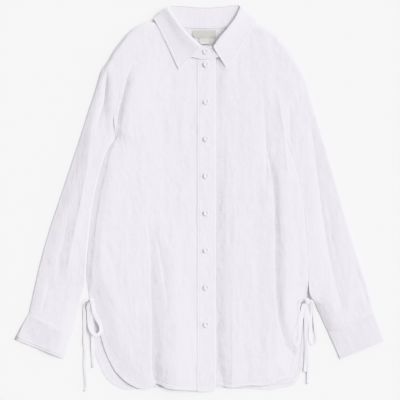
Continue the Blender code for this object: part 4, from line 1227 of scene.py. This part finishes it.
def build_leaf(seam, top, middle, edge, material):
    """The leaf starts inside the stand's top, folds over it and turns down. LEAF_FOLD says how far
    up and inward from that top its first points lie."""
    inward = unit(np.cross(np.gradient(top + seam, axis=0), top - seam))
    folds = [top + unit(top - seam) * up + inward * away for up, away in LEAF_FOLD]
    shares = shares_of(LEAF_ROWS, start=True, end=True)
    sections = np.stack([*folds, middle, edge], axis=1)
    leaf = np.array([at_shares(smooth_curve(section), shares) for section in sections])
    leaf[..., 2] = np.maximum(leaf[..., 2], LEAF_PLY / 2)
    cloth = thread_places(length_along(edge)[:, None], np.linspace(0, LEAF_HEIGHT, LEAF_ROWS + 1)[None])
    sewn = edge_distance(leaf, ("first", "last", "right")) - COLLAR_INSET
    look = {"wall": LEAF_PLY, "held": "folded", "cloth": cloth, "sewn": sewn}
    cloth_piece("collar_leaf", leaf, material, (0.47, 0.048), rests_on=["cloth_collar_stand"], **look)
    return leaf


def build_label(name, material):
    """A bare label on the inside of the back, with a soft wave."""
    x, y = LABELS[name]
    columns, rows = LABEL_POINTS
    flat = np.stack(np.meshgrid(np.linspace(*x, columns), np.linspace(*y[::-1], rows)), axis=2)
    wave = LABEL_WAVE * np.sin(flat[..., 0] / LABEL_WAVE_LENGTH)
    height = back_bed(*xy(flat)) + LABEL_RIDE + wave
    dress(shell("woven_" + name, with_height(flat, height), LABEL_WALL, material), "label", name)


# Buttons

HOLE_OFFSET = 1.25
HOLE_RADIUS = 0.65
BUTTON_SHARP_ANGLE = 50.0
BUTTON_CLEARANCE = 0.25
STAND_BUTTON_CLEARANCE = 0.4
THREAD_BAR = (0.75, 0.55)
THREAD_REACH = 1.05
THREAD_ARCH = 0.5
THREAD_FOOT = 0.66
BUTTON_PROFILE = [
    (0.0, 0.58), (0.30, 0.60), (0.52, 0.66), (0.62, 0.84), (0.72, 0.98), (0.84, 1.0), (0.93, 0.93),
    (0.99, 0.74), (1.0, 0.52), (0.95, 0.26), (0.86, 0.06), (0.7, 0.0), (0.0, 0.0),
]


def button_mesh(material):
    """A turned disc with a raised rim and four holes."""
    radius, thick = BUTTON_DIAMETER / 2 * MM, BUTTON_THICKNESS * MM
    bm = bmesh.new()
    verts = [bm.verts.new((max(r, 0) * radius, 0, z * thick)) for r, z in smooth_curve(BUTTON_PROFILE, 3)]
    edges = [bm.edges.new(pair) for pair in zip(verts[:-1], verts[1:])]
    bmesh.ops.spin(
        bm, geom=verts + edges, cent=(0, 0, 0), axis=(0, 0, 1), angle=2 * np.pi, steps=48, use_merge=True,
    )
    bmesh.ops.remove_doubles(bm, verts=bm.verts, dist=1e-6)
    bmesh.ops.recalc_face_normals(bm, faces=bm.faces)
    disc = add_object("button_disc", finished_mesh("button", bm))
    disc.data.materials.append(material)
    bm = bmesh.new()
    hole, offset = HOLE_RADIUS * MM, HOLE_OFFSET * MM
    for place in ((-offset, -offset, 0), (-offset, offset, 0), (offset, -offset, 0), (offset, offset, 0)):
        made = bmesh.ops.create_cone(
            bm, segments=16, radius1=hole, radius2=hole, depth=4 * thick, cap_ends=True,
        )
        bmesh.ops.translate(bm, verts=made["verts"], vec=place)
    cutter = add_object("holes", finished_mesh("holes", bm))
    disc.modifiers.new("holes", "BOOLEAN").object = cutter
    evaluated = disc.evaluated_get(bpy.context.evaluated_depsgraph_get())
    finished = bpy.data.meshes.new_from_object(evaluated)
    finished.shade_smooth()
    finished.set_sharp_from_angle(angle=np.radians(BUTTON_SHARP_ANGLE))
    bpy.data.objects.remove(disc)
    bpy.data.objects.remove(cutter)
    return finished


def thread_bars(place, turn, tilt):
    """Two bars of thread through a button's holes, as centre lines."""
    t = np.linspace(-1, 1, 9)
    z = BUTTON_THICKNESS * THREAD_FOOT - THREAD_ARCH * t**4
    y = t * HOLE_OFFSET * THREAD_REACH
    turned = np.array([[np.cos(turn), np.sin(turn), 0], [-np.sin(turn), np.cos(turn), 0], [0, 0, 1]])
    tilted = np.array([[1, 0, 0], [0, np.cos(tilt), np.sin(tilt)], [0, -np.sin(tilt), np.cos(tilt)]])
    bars = (np.stack([0 * t + x, y, z], axis=1) for x in (-HOLE_OFFSET, HOLE_OFFSET))
    return [bar @ turned @ tilted + place for bar in bars]


def build_buttons(pearl, thread):
    """The buttons down the placket, and one that fastens the collar stand, with their threads."""
    base = button_mesh(pearl)
    rng = np.random.default_rng(5)
    places = []
    around = np.linspace(-BUTTON_DIAMETER / 2, BUTTON_DIAMETER / 2, 5)
    for i in range(BUTTON_COUNT):
        y = FIRST_BUTTON_Y - i * BUTTON_SPACING
        z = placket_height(*np.meshgrid(CENTRE_X + around, y + around)).max() + WALL / 2 + BUTTON_CLEARANCE
        places.append((f"button_{i + 1:02d}", (CENTRE_X, y, z), 0.0))
    seam, top = pressed(STAND_TIPS["right"])
    tilt = np.arctan2(top[2] - seam[2], top[1] - seam[1])
    out = np.array([0, -np.sin(tilt), np.cos(tilt)]) * (TWO_PLY / 2 + STAND_BUTTON_CLEARANCE)
    places.append(("button_stand", (STAND_BUTTON_X, *((seam + top) / 2 + out)[1:]), tilt))
    bars = []
    for node, place, tilt in places:
        turn = rng.uniform(-0.5, 0.5)
        thing = add_object("pearl_" + node, base)
        thing.location = [c * MM for c in place]
        thing.rotation_euler = (tilt, 0, turn)
        dress(thing, "pearl", node)
        bars += [tape_mesh("bar", line, *THREAD_BAR, thread) for line in thread_bars(place, turn, tilt)]
    dress(join("button_threads", bars), "linen")


# Sewing

STITCH_SIDES = 6
STITCH_FLATNESS = 0.7
STITCH_LOOK = 0.3
STITCH_RIDE = 0.05
PLACKET_STITCH_END = 2.0
PLACKET_STITCH_POINTS = 400
STITCH_RINGS = np.array([
    (-0.5, 0.25, -0.18), (-0.42, 0.8, 0.02), (0.0, 1.0, 0.1), (0.42, 0.8, 0.02), (0.5, 0.25, -0.18),
])


def stitch_rows(name, lines, material):
    """Stitches along lines of points; each line comes with the normals of the cloth under it. The
    rings of a stitch are rows of its place along it, its width and its height."""
    angle = np.linspace(0, 2 * np.pi, STITCH_SIDES, endpoint=False)[:, None]
    at_ring, width, height = (STITCH_RINGS * (STITCH_LENGTH, STITCH_WIDTH / 2, 1)).T[:, None, :, None]
    verts = []
    for line, normal in lines:
        steps = max(int(length_along(line)[-1] / STITCH_PITCH), 1)
        at = (np.arange(steps) + 0.5) / steps
        centre, up = at_shares(line, at), unit(at_shares(line, at, normal))
        look = STITCH_LOOK / steps
        before, after = (at_shares(line, np.clip(at + off, 0, 1)) for off in (-look, look))
        along = unit(after - before)
        side = unit(np.cross(along, up))
        centre, along, up, side = (v[:, None] for v in (centre, along, up, side))
        middle = centre + along * at_ring + up * height
        round_it = np.cos(angle) * side[:, :, None] + STITCH_FLATNESS * np.sin(angle) * up[:, :, None]
        verts.append((middle[:, :, None] + round_it * width[..., None]).reshape(-1, 3))
    verts = np.vstack(verts)
    stitches = np.arange(len(verts)).reshape(-1, len(STITCH_RINGS), STITCH_SIDES)
    faces = [face for index in stitches for face in tube_faces(index)]
    dress(new_mesh(name, verts, faces, material), "linen")


def on_surface(line, height):
    """A line laid on a surface z = height(x, y), with the surface's normals."""
    x, y = line.T
    slope_x = height(x + 0.5, y) - height(x - 0.5, y)
    slope_y = height(x, y + 0.5) - height(x, y - 0.5)
    normal = unit(np.stack([-slope_x, -slope_y, np.ones(len(x))], axis=1))
    return with_height(line, height(x, y)) + normal * (WALL / 2 + STITCH_RIDE), normal


def inset_line(points, inset, height):
    """A line so far inside an outline, laid on a surface."""
    curve = smooth_curve(points, 30)
    d = unit(np.gradient(curve, axis=0))
    return on_surface(curve + np.stack([-d[:, 1], d[:, 0]], axis=1) * inset, height)


def build_sewing(leaf, material):
    """Rows of stitches along the hems, placket and collar."""
    right, left = (partial(front_height, side=side) for side in ("right", "left"))
    back_edge = SLIT_BACK["right"] + HEM_BACK[1:] + SLIT_BACK["left"][::-1][1:]
    stitch_rows("stitches_hem", [
        inset_line(SLIT_FRONT["right"] + HEM_FRONT["right"][1:], HEM_INSET, right),
        inset_line(SLIT_FRONT["left"] + HEM_FRONT["left"][::-1][1:], -HEM_INSET, left),
        inset_line(back_edge, HEM_INSET, back_height),
    ], material)
    ends = PLACKET_TOP_Y - PLACKET_STITCH_END, HEM_FRONT["right"][-1][1] + PLACKET_STITCH_END
    y = np.linspace(*ends, PLACKET_STITCH_POINTS)
    places = FREE_EDGE_X + PLACKET_OVERHANG - PLACKET_INSET, FREE_EDGE_X - PLACKET_WIDTH + PLACKET_INSET
    lines = [on_surface(np.stack([0 * y + x, y], axis=1), placket_height) for x in places]
    stitch_rows("stitches_placket", lines, material)
    row = np.abs(edge_distance(leaf, ("last",)) - COLLAR_INSET).argmin(axis=1)
    index = np.arange(len(leaf))
    line, up = leaf[index, row], grid_normals(leaf)[index, row]
    along = length_along(line)
    inside = (along > COLLAR_INSET) & (along < along[-1] - COLLAR_INSET)
    line, up = line[inside], up[inside]
    stitch_rows("stitches_collar", [(line + up * (LEAF_PLY / 2), up)], material)


# The stage and the light

FLOOR_SIZE = 6.0
FLOOR_DROP = 0.0002
SKY_LOW = 0.42
SKY_HIGH = 0.95
SUN_STRENGTH = 7.4
SUN_FROM = (2.5, 0.95, 1.0)
SUN_ANGLE = 62.0


def build_stage():
    bm = bmesh.new()
    bmesh.ops.create_grid(bm, x_segments=1, y_segments=1, size=FLOOR_SIZE)
    floor = add_object("floor", finished_mesh("floor", bm))
    floor.data.materials.append(material_nodes("floor_paper").finish(FLOOR_COLOUR, 0.9, specular=0.0))
    floor.location = (0, 0, -FLOOR_DROP)


def build_light():
    """A sky that is brighter overhead, and a wide soft sun low at +x."""
    n = Nodes(bpy.data.worlds.new("sky"), "Background")
    up = n.add("ShaderNodeSeparateXYZ", {0: n.place("Generated")}).outputs["Z"]
    strength = n.add("ShaderNodeMapRange", {"Value": up, "To Min": SKY_LOW, "To Max": SKY_HIGH}).outputs[0]
    n.put(n.main, {"Strength": strength, "Color": (1, 1, 1, 1)})
    bpy.context.scene.world = n.owner
    sun = bpy.data.lights.new("window", "SUN")
    sun.energy = SUN_STRENGTH
    sun.angle = np.radians(SUN_ANGLE)
    thing = add_object("window", sun)
    thing.location = SUN_FROM
    x, y, z = SUN_FROM
    thing.rotation_euler = (np.arctan2(np.hypot(x, y), z), 0, np.arctan2(y, x) + np.pi / 2)
    bpy.context.scene.view_settings.view_transform = "Khronos PBR Neutral"


build_camera()
linen = linen_material("linen_cloth", LINEN)
cord = linen_material("linen_cord", CORD)
# The cuffs' linen is darker than the cloth's: painted shade on the cuffs.
cuff_shaded_linen = linen_material("linen_cuff_painted_shade", CUFF_SHADED_LINEN)
label = label_material("label_weave", LABEL)
size_tape = label_material("size_tape_weave", SIZE_TAPE)
pearl = pearl_material()
thread = thread_material()
for node, (length, route) in CORD_ROUTES.items():
    build_cord(node, route, cord)
for node, (centre, half) in KNOTS.items():
    build_knot(node, centre, half, cord)
build_back(linen)
build_front("right", linen, (0.255, 0.745), 0.165)
build_front("left", linen, (0.225, 0.735), 0.140)
build_placket(linen)
build_sleeve("right", linen, 0.077)
build_sleeve("left", linen, 0.085)
build_cuff("right", cuff_shaded_linen)
build_cuff("left", cuff_shaded_linen)
seam, top, middle, edge = collar_curves()
build_stand(seam, top, linen)
leaf = build_leaf(seam, top, middle, edge, linen)
build_label("neck_label", label)
build_label("size_label", size_tape)
build_buttons(pearl, thread)
build_sewing(leaf, thread)
build_stage()
build_light()
